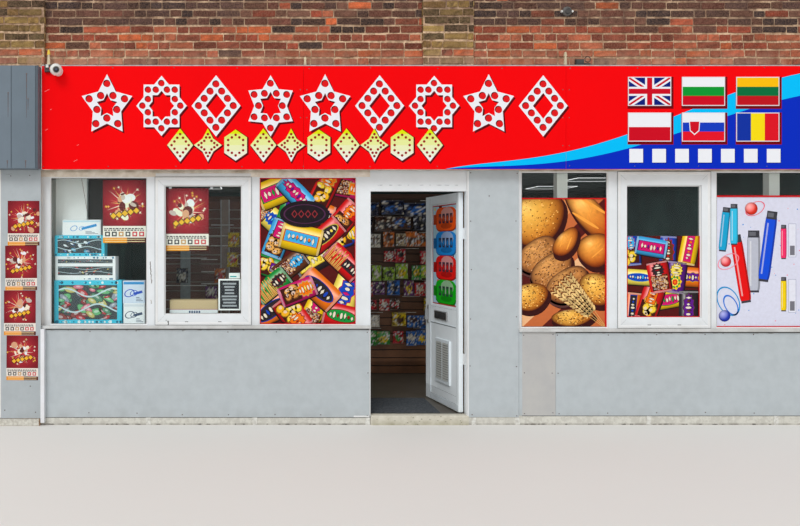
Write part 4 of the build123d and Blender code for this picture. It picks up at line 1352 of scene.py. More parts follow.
def make_goods():
    """The cartons on the ledge, in the same piles as the solids that they stand for."""
    gap = 0.0003
    toys = toy_face(
        0.045, 60, (196, 60, 70), (110, 190, 130), (226, 130, 150), (90, 150, 120), (206, 196, 120),
        (150, 70, 70), (150, 160, 176),
    )
    cars = toy_face(
        0.028, 20, (206, 40, 50), (90, 110, 150), (190, 60, 60), (230, 200, 70), (200, 206, 214),
        rows=((0.12, 0.6), (0.78, 1.0)),
    )
    blues = toy_face(0.03, 26, (50, 90, 150), (236, 244, 250), (90, 180, 214), (40, 50, 60))
    left_pile = (
        (0.016, 0.65, 0.42, 0.20, TEAL, toys),
        (0.026, 0.58, 0.23, 0.18, BOX_WHITE, cars),
        (0.021, 0.48, 0.20, 0.15, TEAL, blues),
        (0.096, 0.37, 0.15, 0.11, BOX_WHITE, plain_face(BOX_BLUE, (206, 232, 246))),
    )
    right_pile = (
        (0.681, 0.205, 0.20, 0.16, BOX_WHITE, plain_face((60, 80, 110), (226, 232, 240))),
        (0.676, 0.21, 0.215, 0.16, (220, 232, 250), plain_face((20, 80, 200), BOX_BLUE)),
    )
    tan_box = ((1.125, 0.46, 0.23, 0.20, (214, 188, 146), tan_face),)
    sheet = Sheet(None)
    for pile in (left_pile, right_pile, tan_box):
        bottom = LEDGE_Z
        for offset, width, height, depth, shell, face in pile:
            sheet.board, sheet.area = front_board(DISPLAY_Y, LEFT_PILE + offset, bottom), None
            sheet.block(sheet.board, 0, width, 0, height, -depth, -0.004, shell)
            sheet.block(sheet.board, 0, width, 0, height, -0.004, 0.0, shell, slope=0.004)
            face(sheet, width, height)
            bottom += height + gap
    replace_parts(sheet.piece("ledge_cartons", "carton board", "cartons"), "window_display")
    boards = Shapes()
    back = front_board(DISPLAY_Y + 0.125)
    third_top = LEDGE_Z + sum(height for _, _, height, *_ in left_pile[:3]) + 3 * gap
    boards.block(back, -3.75, -3.449, third_top, 2.45, 0, 0.006, (255, 255, 255))
    cord = np.array(((-3.446, 2.02), (-3.443, 2.02), (-3.517, 2.449), (-3.52, 2.449)))
    boards.prism(back, cord, 0.005, 0.008, (120, 70, 60))
    back = front_board(BACK_Y - 0.016)
    for area, low, high, ink in (
        ((-3.83, -3.449, LEDGE_Z, 2.34), 0, 0.01, (236, 244, 246)),
        ((-3.446, -2.80, 1.93, 2.34), 0, 0.012, (40, 42, 44)),
        ((-3.446, -2.80, 1.915, 1.93), -0.002, 0.02, (120, 124, 128)),
    ):
        boards.block(back, *area, low, high, ink)
    boards.piece("window_backing_boards", "carton board", "white_paint")


make_goods()


# Slatwalls, hooks and hanging packets
PACKET_INKS = inks_of(
    (24, 30, 64), (250, 214, 30), (60, 160, 60), (214, 20, 40), (120, 40, 130), (30, 110, 200),
    (236, 230, 214), (230, 120, 30), (90, 54, 34), (170, 214, 60), (30, 34, 40), (214, 190, 150),
)
# From the lowest row up: how wide and tall its packets are, how likely each is, and the inks for
# their body and patch
PACKET_ROWS = (
    (0.15, 0.17, 0.8, (3, 5, 2, 0, 7), (6, 1, 6, 2)), (0.16, 0.17, 0.7, (1, 9, 1, 6, 5), (6, 9, 8)),
    (0.13, 0.14, 0.45, (8, 1, 3), (6, 3, 10)), (0.14, 0.17, 0.85, (4, 9, 5, 2, 3), (6, 11, 1, 10)),
    (0.14, 0.18, 0.92, (2, 3, 5, 9, 7), (6, 1, 10)), (0.13, 0.15, 0.5, (3, 8, 3), (6, 10)),
    (0.15, 0.18, 0.9, (6, 11, 6, 7), (10, 8, 6)), (0.22, 0.18, 1.0, (0, 10, 0, 8), (10, 6, 5)),
    (0.3, 0.17, 1.0, (0, 10, 0), (5, 10, 6)),
)


def slats(name, node_name, groove_ink, wood, upward_shade):
    """Boards at an even pitch with eased edges on the face of a slatwall, and a strip in each groove. The
    boards grow darker towards the top by the upward shade: painted shade.
    """
    (x0, y, z0), (x1, _, z1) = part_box(node_name)
    board, shapes = front_board(y), Shapes()
    pitch, face = 0.1, 0.009
    for k in range(int((z1 - z0) / pitch)):
        z = z0 + k * pitch
        # Each board is darker the higher it is: painted shade towards the top of the slatwall.
        tint = srgb(*wood) * draw.uniform(0.85, 1.1) * (1 - upward_shade * k * pitch / (z1 - z0))
        shapes.block(board, x0, x1, z + 0.004, z + pitch - 0.004, -0.002, face, tint, slope=0.003)
        shapes.block(board, x0, x1, z - 0.003, z + 0.003, -0.002, 0.003, groove_ink)
    shapes.piece(name, "slat board", "slat_brown")
    return board.moved(face)


def packet(shapes, board, x, z, width, height, ink, other):
    """A filled bag: a grid in u and v, as deep as (1 - u^4)(1 - v^4), with a flat seam at both ends.

    The ink at a point is pale at the ends, the other one in a round patch, marked with more inks
    between the ends, and shaded at random. The back face has the same inks at 0.6, as painted shade."""
    n = 10
    u, v = np.meshgrid(np.linspace(-1, 1, n), np.linspace(-1, 1, n), indexing="ij")
    bulge = (1 - u**4) * (1 - v**4)
    flat = (x + u * (1 - 0.06 * (1 - v**2)) * width / 2, z + v * height / 2)
    sides = [np.stack((*flat, out), -1) for out in (0.025 + 0.017 * bulge, 0.021 - 0.013 * bulge)]
    end = np.abs(v.ravel())[:, None]
    patch = (u**2 + (v * 1.3 - draw.uniform(-0.3, 0.3)) ** 2 < 0.4).ravel()[:, None]
    mark = (draw.random(n * n) < 0.4)[:, None] & (end < 0.8)
    inks = np.where(patch, other, np.where(end > 0.8, ink * 0.6 + 0.12, ink))
    marks = np.array((srgb(*CREAM), ink * 0.3, other * 0.4, WHITE, ink * 0.15))[draw.integers(0, 5, n * n)]
    inks = np.where(mark, marks, inks) * draw.uniform(0.5, 0.95, (n * n, 1))
    front, rim = cells(n, n, around=False), rim_of(n, n)
    after = np.roll(rim, -1)
    seams = np.column_stack((after, after + n * n, rim + n * n, rim))
    faces = [*front, *(front[:, ::-1] + n * n), *seams]
    # The back face takes the front's inks darkened to 0.6: painted shade.
    shapes.add(board.place(sides).reshape(-1, 3), faces, np.concatenate((inks, inks * 0.6)))


def hook(shapes, board, x, z, length):
    """A rod out of a slatwall with a turned-up end: a round profile along three points."""
    path = board.place(((x, z, 0), (x, z, length), (x, z + 0.012, length + 0.006)))
    shapes.sweep(path, polygon(6, 0.0022), grey(0.6), up=board.right)


def make_slatwalls():
    """Both slatwalls, with rows of hooks and packets on the one behind the doorway."""
    # The slatwall behind the doorway darkens strongly towards its top: painted shade.
    board = slats("slatwall_boards", "slatwall", (24, 16, 12), (146, 96, 60), 0.95)
    side = slats("side_slatwall_boards", "side_slatwall", (236, 234, 226), (118, 74, 60), 0.0)
    goods, rods = Shapes(), Shapes()
    (left, _, foot), (right, _, _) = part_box("packet_rows")
    for row, (wide, tall, chance, inks, others) in enumerate(PACKET_ROWS):
        x = left + draw.uniform(0.06, 0.12)
        base = foot + 0.2 * row + 0.075
        for part in (0, 1):
            start = left + (right - left) * (part + draw.uniform(0.05, 0.5)) / 2
            rods.block(board, start, start + 0.22, base + 0.096, base + 0.104, -0.001, 0.006, (210, 206, 196))
        while x < right - wide / 2:
            width, height = wide * draw.uniform(0.85, 1.2), tall * draw.uniform(0.85, 1.15)
            z = base + draw.uniform(-0.02, 0.02)
            if draw.random() < chance:
                ink, other = PACKET_INKS[draw.choice(inks)], PACKET_INKS[draw.choice(others)]
                hook(rods, board, x, z + height / 2 - 0.01, 0.07)
                for k in range(draw.integers(1, 3)):
                    near = board.moved(0.012 + 0.028 * k)
                    packet(goods, near, x + draw.normal(0, 0.003), z, width, height, ink, other)
            x += width + draw.choice((0.0, 0.006, 0.03))
    for x, z, ink, other in (
        (-2.05, 1.755, 1, 7), (-2.06, 1.535, 1, 3), (-2.20, 1.36, 7, 3), (-2.30, 1.16, 4, 6),
        (-1.95, 1.16, 1, 7), (-2.62, 1.36, 0, 6), (-1.76, 1.56, 3, 1),
    ):
        hook(rods, side, x, z + 0.08, 0.05)
        packet(goods, side, x, z, 0.13, 0.165, PACKET_INKS[ink], PACKET_INKS[other])
    for x0, x1, top, out, ink in (
        (-2.19, -2.10, 2.2, 0.012, (150, 130, 120)), (-2.64, -2.53, 1.65, 0.010, (150, 160, 164)),
        (-2.196, -2.184, 2.2, 0.02, (190, 190, 190)), (-2.106, -2.094, 2.2, 0.02, (190, 190, 190)),
    ):
        rods.block(side, x0, x1, 0.12, top, 0.0, out, ink)
    for x0, x1, z in (
        (-2.80, -2.35, 1.552), (-2.80, -2.35, 1.249), (-2.41, -2.23, 1.537), (-2.41, -2.23, 1.403),
        (-2.41, -2.21, 1.268), (-2.30, -2.05, 1.92), (-2.33, -2.02, 1.80), (-2.30, -2.06, 1.69),
    ):
        rods.block(side, x0, x1, z - 0.004, z + 0.004, 0.0, 0.02, (240, 240, 236))
    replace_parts(goods.piece("hanging_packets", "packet foil", "packets", smooth=True), "packet_rows")
    rods.piece("hooks_and_upright", "small fittings", "bright_metal")


make_slatwalls()


# Window frames, trims, screws and wear
def screws(shapes, board, places, radius=0.0055):
    """Round screw heads: a low dome with a dark slot, painted near black as the shade in its groove."""
    dome = ((radius, -0.001), (radius, 0.001), (radius * 0.8, 0.0024), (radius * 0.4, 0.003))
    for place in places:
        shapes.turn(board, place, dome, np.array((0.16, 0.16, 0.17)), 10)
        slot = turned(rectangle(-radius * 0.7, radius * 0.7, -0.0007, 0.0007), draw.uniform(0, 3), place)
        # The slot's near black is painted shade in the groove.
        shapes.prism(board, slot, 0.002, 0.0034, grey(0.02))


def edge_screws(x0, x1, z0, z1, inset, pitch):
    """Places at even steps round a sheet, in from its edges."""
    x0, x1, z0, z1 = x0 + inset, x1 - inset, z0 + inset, z1 - inset
    across = np.linspace(x0, x1, max(2, round((x1 - x0) / pitch) + 1))
    up = np.linspace(z0, z1, max(2, round((z1 - z0) / pitch) + 1))[1:-1]
    places = [(x, z) for x in across for z in (z0, z1)] + [(x, z) for z in up for x in (x0, x1)]
    return [(x + draw.normal(0, 0.006), z + draw.normal(0, 0.006)) for x, z in places]


def make_frames():
    """Beads and gaskets round the panes, and the casements' lips, seams, corner joints and drains; the drain
    slots are painted dark as the shade in them.
    """
    pane, casement = front_board(GLASS_Y), front_board(FRAME_Y - 0.010)
    proud = GLASS_Y - FRAME_Y - 0.004
    beads, seals = Shapes(), Shapes()
    bead = ((0.002, 0.0003), (0.002, proud), (-0.003, proud), (-0.012, 0.006), (-0.012, 0.0003))
    gasket = ((-0.010, 0.0002), (-0.010, 0.005), (-0.0155, 0.003), (-0.0155, 0.0002))
    lip = ((0.0, -0.004), (0.0, 0.003), (-0.02, 0.003), (-0.024, 0.0), (-0.024, -0.004))
    seam = ((0.0, 0.0006), (0.0035, 0.0006), (0.0035, -0.002), (0.0, -0.002))
    for area in PANES.values():
        beads.ring(pane, *area, bead, (232, 234, 236))
        seals.ring(pane, *area, gasket, (40, 42, 44))
    for name, (z0, z1) in (("left casement", LEFT_LIGHTS), ("right casement", RIGHT_LIGHTS)):
        x0, x1 = PANES[name][0] - CASEMENT, PANES[name][1] + CASEMENT
        beads.ring(casement, x0 + 0.006, x1 - 0.006, z0 + 0.006, z1 - 0.006, lip, (238, 240, 242))
        seals.ring(casement, x0 + 0.003, x1 - 0.003, z0 + 0.003, z1 - 0.003, seam, (96, 98, 98))
        for k, corner in enumerate(rectangle(x0, x1, z0, z1)):
            joint = turned(rectangle(0.035, 0.118, -0.0006, 0.0006), (2 * k + 1) * math.pi / 4, corner)
            seals.prism(casement, joint, -0.001, 0.0005, (150, 152, 152))
        # Two drain slots on each casement's foot, painted dark grey as painted shade.
        for x in (x0 + 0.3, x1 - 0.3):
            seals.block(casement, x - 0.016, x + 0.016, z0 + 0.03, z0 + 0.036, -0.001, 0.0008, (90, 92, 92))
    beads.piece("window_beads", "bead plastic", "white_frame")
    seals.piece("window_gaskets", "dark rubber", "dark_panel")


def make_trims():
    """White corner trims, plinth posts and every screw on the panels and the sign."""
    trims, heads, posts = Shapes(), Shapes(), Shapes()
    wall, sheet, pilaster = front_board(WALL_Y), front_board(PANEL_Y), front_board(PILASTER_Y)
    white, sign_foot, back = (232, 234, 236), SIGN_LOW[2], PILASTER_Y - PANEL_Y
    for side in (-1, 1):
        x = side * (BASE_IN - 0.031)
        trims.block(pilaster, x - 0.018, x + 0.018, 0.03, 0.909, back, 0.003, WHITE, slope=0.001)
        x = side * (PANEL_OUT - 0.006)
        trims.block(pilaster, x - 0.005, x + 0.005, 0.08, sign_foot - 0.002, -0.004, 0.002, white)
    trims.block(sheet, DOOR_LEFT - 0.011, DOOR_LEFT - 0.002, 0.075, 0.909, -0.004, 0.003, (206, 208, 208))
    trims.block(sheet, 0.706, 1.019, 0.09, 0.878, -0.002, 0.001, (178, 178, 178))
    trims.block(sheet, DOOR_LEFT - 0.16, DOOR_LEFT - 0.004, 0.074, 0.088, -0.002, 0.003, white)
    trims.block(wall, 0.187, 0.203, 0.03, sign_foot - 0.004, -0.02, 0.014, white, slope=0.002)
    _, y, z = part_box("window_heads")[0]
    trims.block(front_board(y), -2.755, -1.853, z + 0.002, z + 0.034, -0.004, 0.005, white, slope=0.001)
    base, pier = front_board(WALL_Y - 0.006), front_board(PIER_Y)
    for x, top in (
        (-2.82, 0.071), (-1.815, 0.071), (-0.75, 0.07), (0.663, 0.071), (0.25, 0.07), (1.9, 0.085),
        (3.1, 0.085),
    ):
        posts.block(base, x - 0.023, x + 0.023, 0.0, top, -0.003, 0.006, (226, 226, 220), slope=0.002)
    for ends in ((-HALF + 0.004, -BASE_IN - 0.004), (BASE_IN + 0.004, HALF - 0.004)):
        posts.block(pier, *ends, 0.0, 0.069, -0.002, 0.004, (216, 214, 204), slope=0.003)
    posts.piece("plinth_posts", "flaking posts", "plinth_paint")
    screws(heads, sheet, edge_screws(-BASE_IN, DOOR_LEFT, 0.073, 0.91, 0.03, 0.44))
    screws(heads, sheet, edge_screws(0.705, 1.021, 0.088, 0.88, 0.025, 0.4))
    screws(heads, sheet, edge_screws(1.023, BASE_IN, 0.088, 0.88, 0.028, 0.44))
    screws(heads, sheet, edge_screws(0.2, 0.673, 0.073, 2.40, 0.02, 0.42))
    screws(heads, sheet, [(0.394, 2.159)])
    places = ((4.102, 2.343), (3.924, 2.348), (3.919, 0.374), (4.158, 0.149), (3.87, 0.13))
    for side in (-1, 1):
        screws(heads, pilaster, [(side * x, z) for x, z in places])
    sign = front_board(SIGN_Y)
    for z in (sign_foot + 0.028, SIGN_HIGH[2] - 0.026):
        starts = np.arange(SIGN_LOW[0] + 0.03, SIGN_HIGH[0], 0.61)
        screws(heads, sign, [(x + draw.normal(0, 0.02), z + draw.normal(0, 0.003)) for x in starts], 0.005)
    for x in SHEET_JOINTS:
        screws(heads, sign, [(x + side * 0.03, z) for side in (-1, 1) for z in (2.62, 2.88, 3.14)], 0.005)
    heads.piece("screw_heads", "screw metal", "bright_metal")
    trims.piece("white_trims", "bead plastic", "white_frame")


def make_pilaster_heads():
    """The boards, joint lines, screws and dirt streaks on both pilaster heads. The narrow dark board at each
    inner edge is painted shade of the folded trim there.
    """
    board, face = front_board(HEAD_LOW[1]), front_board(HEAD_LOW[1] - 0.007)
    foot, top = HEAD_LOW[2], HEAD_HIGH[2]
    boards, marks = Shapes(), Shapes()
    for side in (-1, 1):
        for ends, trim, out, ink, slope in (
            ((HALF, 4.058), (0.001, -0.002), 0.007, (107, 121, 133), 0.002),
            ((4.056, 3.836), (0.001, -0.001), 0.007, (103, 118, 130), 0.002),
            # Painted shade: a narrow dark board for the shaded folded trim at the inner edge.
            ((3.834, 3.812), (0.0, 0.0), 0.004, (64, 74, 84), 0.001),
        ):
            boards.block(board, *(np.sort(ends * np.array(side)) + trim), foot, top, -0.001, out, ink, slope)
        spots = ((3.917, 3.273), (4.087, 3.098), (3.903, 3.043), (4.094, 2.471), (3.926, 2.471))
        places = [(side * x, z) for x, z in spots]
        screws(marks, face, places, 0.007)
        for x, z in places:
            fall = min(draw.uniform(0.08, 0.4), z - foot - 0.012)
            streak = np.array(((-0.002, -fall), (0.001, -fall), (0.0045, 0), (-0.0045, 0))) + (x, z - 0.006)
            marks.prism(face, streak, -0.0004, 0.0003, (74, 84, 92))
    boards.piece("pilaster_head_boards", "head sheet", "dark_panel")
    marks.piece("pilaster_head_marks", "screw metal", "dark_panel")


def make_wear():
    """Rust, dirt and stains: thin uneven flakes on the posts, the sheets, the step and the sills, and dark
    strips of painted shadow at each riser sheet's foot and head.
    """
    marks = Shapes()

    def flake(y, x, z, wide, tall, ink):
        ring = polygon(9, 0.5) * (wide, tall) * draw.uniform(0.5, 1.0, (9, 1))
        marks.prism(front_board(y), ring + (x, z), -0.0005, 0.0004, srgb(*ink) * draw.uniform(0.6, 1.3))

    for count, y, x, slant, spread, top, drop, wide, tall, ink in (
        (12, FRAME_Y, -2.806, 0.0012, 0.002, 1.53, 0.017, 0.009, 0.03, (84, 62, 44)),
        (3, FRAME_Y, -2.797, 0.0, 0.003, 1.17, 0.012, 0.008, 0.016, (150, 126, 96)),
        (6, FRAME_Y - 0.013, -2.642, 0.0, 0.009, 0.985, 0.008, 0.016, 0.012, (96, 98, 98)),
    ):
        for k in range(count):
            flake(y, x + slant * k + draw.normal(0, spread), top - drop * k, wide, tall, ink)
    step_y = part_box("door_step")[0][1]
    for k in range(26):
        flake(step_y, draw.uniform(-0.68, 0.16), 0.08 * draw.random() ** 2, 0.02, 0.009, (150, 148, 122))
    foot_shadow_board, sheet = front_board(WALL_Y - 0.008), front_board(PANEL_Y)
    for x0, x1, foot, head in ((-BASE_IN + 0.02, DOOR_LEFT, 0.0735, 0.909), (0.705, BASE_IN, 0.0885, 0.879)):
        # Painted shadow: a dark strip under the foot of each riser sheet and one along its head under the
        # sill, with uneven darker flakes along the head.
        marks.block(foot_shadow_board, x0, x1, foot - 0.006, foot - 0.0005, -0.002, 0.0, (56, 56, 54))
        marks.block(sheet, x0, x1, head - 0.013, head - 0.0005, -0.001, 0.0006, (84, 86, 86))
        for k in range(round((x1 - x0) * 9)):
            x = draw.uniform(x0 + 0.02, x1 - 0.02)
            flake(PANEL_Y, x, head - 0.011, draw.uniform(0.02, 0.1), 0.014, (116, 112, 104))
            flake(WALL_Y - 0.006, x, 0.006, draw.uniform(0.02, 0.07), 0.012, (84, 78, 66))
    board_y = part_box("door_head_board")[0][1]
    for k in range(9):
        x = -0.62 + 0.09 * k + draw.normal(0, 0.012)
        flake(board_y, x, 2.263, draw.uniform(0.02, 0.07), 0.005, (150, 156, 162))
    crack = np.array(((-4.177, 2.362), (-4.12, 2.358), (-4.074, 2.364), (-4.12, 2.360)))
    marks.prism(front_board(PILASTER_Y), crack, -0.0005, 0.0004, (60, 60, 60))
    marks.piece("wear_and_shadow_marks", "dark rubber", "dark_panel")


make_frames()
make_trims()
make_pilaster_heads()
make_wear()


# Door
HINGE = frame["joints"][0]
LEAF_ANGLE = math.radians(-HINGE["range_deg"][0])
ALONG = np.array((-math.cos(LEAF_ANGLE), math.sin(LEAF_ANGLE), 0.0))
OUTWARD = np.array((-math.sin(LEAF_ANGLE), -math.cos(LEAF_ANGLE), 0.0))
# Distances from the hinge axis along the leaf and out of its shop side
LEAF_START, LEAF_END = 0.0025, 0.8925
HINGE_STILE, LOCK_STILE = 0.062, 0.150
SHOP_SIDE, STREET_SIDE = 0.0065, 0.0505
NEAR, FAR = LEAF_START + HINGE_STILE, LEAF_END - LOCK_STILE
PANEL_FOOT, PANEL_HEAD = 1.075, 2.119


def leaf_board(offset, inward=False):
    """A board on the open leaf at an offset from the hinge axis.

    Its X is the distance from the hinge, negative on the street side and positive on the shop side."""
    origin = np.array((*HINGE["pos_m"][:2], 0.0)) + OUTWARD * offset
    way = 1 if inward else -1
    return Board(origin, ALONG * way, (0, 0, 1), -OUTWARD * way)


def make_door():
    """Beads, letter slot, louvres, handle, lock and kick rail on both faces of the leaf. The letter slot,
    keyhole and vent are painted dark as painted shade, and a dark line under the middle rail is a painted
    shadow.
    """
    street, shop = leaf_board(STREET_SIDE), leaf_board(SHOP_SIDE, inward=True)
    trims, marks, metal = Shapes(), Shapes(), Shapes()
    white, line = (226, 236, 242), (96, 104, 110)
    sloped = ((0.0, 0.0002), (0.0, 0.010), (-0.006, 0.010), (-0.016, 0.002), (-0.016, 0.0002))
    panel = street.moved(-0.012)
    trims.ring(panel, -FAR, -NEAR, PANEL_FOOT, PANEL_HEAD, sloped, white)
    trims.ring(shop.moved(-0.012), NEAR, FAR, PANEL_FOOT, PANEL_HEAD, sloped, white)
    for board, sign in ((street, -1), (shop, 1)):
        for a, b, z0, z1, out, slope in (
            (FAR, FAR + 0.02, 0.17, 0.895, 0.006, 0.002),
            (LEAF_START, FAR + 0.02, 0.105, 0.162, 0.003, 0.001),
            (NEAR, FAR, 0.902, 0.91, 0.005, 0.001),
        ):
            trims.block(board, *sorted((sign * a, sign * b)), z0, z1, -0.001, out, white, slope)
        # Thin dark lines: joint and kick lines, and the one from 0.894 to 0.901 is a painted shadow under the
        # middle rail.
        for a, b, z0, z1 in (
            (NEAR - 0.008, NEAR - 0.0064, 0.106, 2.19), (FAR + 0.028, FAR + 0.0296, 0.106, 2.19),
            (NEAR, FAR, 0.894, 0.901), (NEAR, FAR, 0.236, 0.2376), (NEAR, FAR, 0.163, 0.165),
            (NEAR, FAR, 1.0655, 1.0665),
        ):
            marks.block(board, *sorted((sign * a, sign * b)), z0, z1, -0.001, 0.0006, line)
    vent, centre = street.moved(0.012), -(LEAF_START + LEAF_END) / 2
    middle, half = centre + 0.05, 0.1925
    v0, v1, w0, w1 = middle - half, middle + half, 0.316, 0.753
    lip = ((0.0, -0.012), (0.0, 0.004), (-0.026, 0.004), (-0.03, 0.001), (-0.03, -0.012))
    trims.ring(vent, v0 + 0.002, v1 - 0.002, w0 + 0.002, w1 - 0.002, lip, white)
    trims.block(vent, middle - 0.009, middle + 0.009, w0 + 0.03, w1 - 0.03, -0.002, 0.004, white)
    # A dark sheet behind the louvres: painted shade inside the vent.
    marks.block(vent, v0 + 0.03, v1 - 0.03, w0 + 0.03, w1 - 0.03, -0.002, 0.0005, (50, 52, 50))
    blade = ((-0.0095, 0.0008), (-0.0075, 0.0), (0.0075, 0.0065), (0.006, 0.008))
    for z in np.arange(w0 + 0.042, w1 - 0.03, 0.0235):
        for a, b in ((v0 + 0.031, middle - 0.01), (middle + 0.01, v1 - 0.031)):
            trims.sweep(vent.place(((a, z, 0), (b, z, 0))), blade, (172, 174, 168), up=OUTWARD)
    letter, half = street.moved(0.010), 0.175
    plate, bar, slot = np.array((0.75, 0.76, 0.78)), grey(0.6), (centre - half + 0.02, centre + half - 0.045)
    metal.block(letter, centre - half, centre + half, 0.944, 1.03, -0.001, 0.003, plate, slope=0.004)
    # The slot and its flap are near black: painted shade of the opening.
    marks.block(letter, *slot, 0.953, 1.021, 0.002, 0.0036, (14, 16, 18))
    marks.block(letter, slot[0] + 0.02, slot[1] - 0.02, 0.960, 1.012, 0.003, 0.007, (34, 36, 40), slope=0.006)
    x, handle = LEAF_END - LOCK_STILE / 2, street.moved(0.008)
    metal.block(handle, -x - 0.017, -x + 0.017, 0.88, 1.07, -0.001, 0.002, bar, slope=0.003)
    lock = ((0.009, 0.0), (0.009, 0.006), (0.007, 0.008))
    metal.turn(handle, (-x, 0.905), lock, np.array((0.5, 0.5, 0.46)), 16)
    # The keyhole is a near-black mark: painted shade inside it.
    marks.block(handle, -x - 0.0015, -x + 0.0015, 0.900, 0.910, 0.007, 0.0085, grey(0.02))
    metal.block(shop, x - 0.017, x + 0.017, 0.88, 1.07, -0.001, 0.006, bar, slope=0.003)
    path = shop.place(((x, 0.93, 0.004), (x, 0.93, 0.03), (x, 1.03, 0.03), (x, 1.03, 0.004)))
    metal.sweep(path, polygon(10, 0.007), bar, up=ALONG)
    trims.piece("door_trims", "door bead", "door_white", body="door")
    marks.piece("door_marks_and_shade", "dark rubber", "dark_panel", body="door")
    metal.piece("door_metal", "handle metal", "bright_metal", body="door")
    make_door_print(panel.moved(SKIN + 0.0002))


def make_door_print(board):
    """A pale print with four rounded shapes, one over another, and thin red edges on the door's panel."""
    sheet = Sheet(board, (-FAR + 0.022, -NEAR - 0.008, PANEL_FOOT + 0.02, PANEL_HEAD - 0.02))
    sheet.fill(1, (176, 214, 232))
    for k, ink in enumerate(((10, 180, 20), (236, 20, 16), (20, 140, 226), (240, 84, 10))):
        centre = sheet.at(0.5, 0) + (0.03, 0.135 + 0.243 * k)
        tint, blob = srgb(*ink), pillow(24, 0.5) * (0.27, 0.118)
        for outline, level, colour, shift in (
            (blob * 1.03, 3, tint * 0.35, (0.008, -0.01)), (blob, 5, tint, (0, 0)),
            (rectangle(-0.33, -0.24, -0.055, 0.05), 5, tint * 0.6, (0, 0)),
            (polygon(12, 0.17, squash=0.42), 6, tint * 0.5 + 0.3, (0.04, 0.045)),
            (polygon(12, 0.15, squash=0.2), 6, tint * 0.6, (0.02, -0.07)),
        ):
            sheet.put(outline, level, colour, centre + shift)
        for j in range(4):
            spot = centre + (-0.15 + 0.1 * j, 0.004)
            sheet.put(rectangle(-0.034, 0.034, -0.048, 0.048), 7, (50, 50, 66), spot)
            sheet.put(polygon(4, 0.03, squash=1.2), 8, tint * 0.7, spot)
    for _ in range(20):
        spot, tint = sheet.at(*draw.random(2)), BRIGHT[draw.integers(len(BRIGHT))]
        sheet.put(polygon(12, draw.uniform(0.015, 0.05)), 2, tint, spot)
    sheet.border(0.01, (190, 20, 30), level=11)
    sheet.piece("door_picture", "paper ink", "door_print", body="door")


make_door()


# Fittings on the wall, the roof and inside
def make_fittings():
    """The ball camera's face, a round wall fitting, wedges on the sign and a small cable loop."""
    parts = Shapes()
    low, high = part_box("security_camera")
    spot = (low[0] + high[0]) / 2, (low[2] + high[2]) / 2
    swing = math.radians(14)
    out = unit(np.array((math.sin(swing), -math.cos(swing) * 0.985, -0.17)))
    right = unit(np.cross(out, (0, 0, 1)))
    ball = Board((spot[0], low[1] + 0.056, spot[1]), right, np.cross(out, right), out)
    dark, white = (20, 20, 24), (236, 236, 232)
    parts.turn(ball, (0, 0), ((0.034, 0.040), (0.034, 0.047), (0.030, 0.050)), (196, 196, 192), 28)
    parts.turn(ball, (0, 0), ((0.027, 0.048), (0.027, 0.0515), (0.018, 0.056), (0.006, 0.058)), dark, 28)
    parts.turn(ball, (0, 0), ((0.009, 0.056), (0.009, 0.0588), (0.004, 0.0596)), (70, 80, 110), 16)
    sign, wall, top = front_board(SIGN_Y), front_board(WALL_Y), front_board(SIGN_Y + 0.05)
    parts.turn(sign, spot, ((0.046, 0.0), (0.046, 0.012), (0.040, 0.016)), white, 32)
    for *area, ink, rise in (
        (-3.768, -3.70, 3.30, 3.372, (36, 36, 40), 0.03),
        (-3.752, -3.722, 3.335, 3.37, (230, 230, 226), 0.045),
        (-3.72, -3.706, 3.31, 3.345, (200, 30, 30), 0.04),
    ):
        parts.block(sign, *area, 0.0, rise, ink, slope=0.003)
    spot = np.array((1.127, 3.898))
    parts.turn(wall, spot, ((0.045, -0.002), (0.045, 0.02), (0.036, 0.03), (0.02, 0.034)), (96, 94, 92), 28)
    parts.turn(wall, spot, ((0.03, 0.028), (0.03, 0.038), (0.02, 0.042)), (30, 30, 34), 24)
    for side in (-0.05, 0.05):
        parts.turn(wall, spot + (side, 0.0), ((0.011, -0.002), (0.011, 0.02), (0.008, 0.024)), white)
    for area in ((1.19, 1.27, 3.374, 3.44), (1.27, 1.33, 3.374, 3.402)):
        parts.block(top, *area, -0.035, 0.0, (38, 36, 36), slope=0.004)
    cable = np.column_stack((polygon(20, 0.026) + (1.305, 3.437), np.full(20, -0.015)))
    parts.sweep(top.place(cable), polygon(6, 0.004), (30, 30, 30), closed=True, up=(0, -1, 0))
    pale, foot = (222, 206, 170), 3.3735
    for x, height, tip in ((-3.746, 0.15, (236, 200, 60)), (-1.345, 0.085, pale), (1.093, 0.13, pale)):
        wedge = np.array(((-0.014, 0), (0.014, 0), (0.006, height), (-0.006, height))) + (x, foot)
        parts.prism(top, wedge, -0.02, 0.0, (224, 208, 174))
        parts.prism(top, wedge * (1, 0.3) + (0, (foot + height) * 0.7), -0.021, 0.001, tip)
    for x in (-2.9, -0.6, 2.1, 3.3):
        parts.block(top, x, x + 0.03, 3.373, 3.392, -0.03, 0.0, (60, 56, 54), slope=0.003)
    parts.piece("wall_fittings", "small fittings", "camera_white")


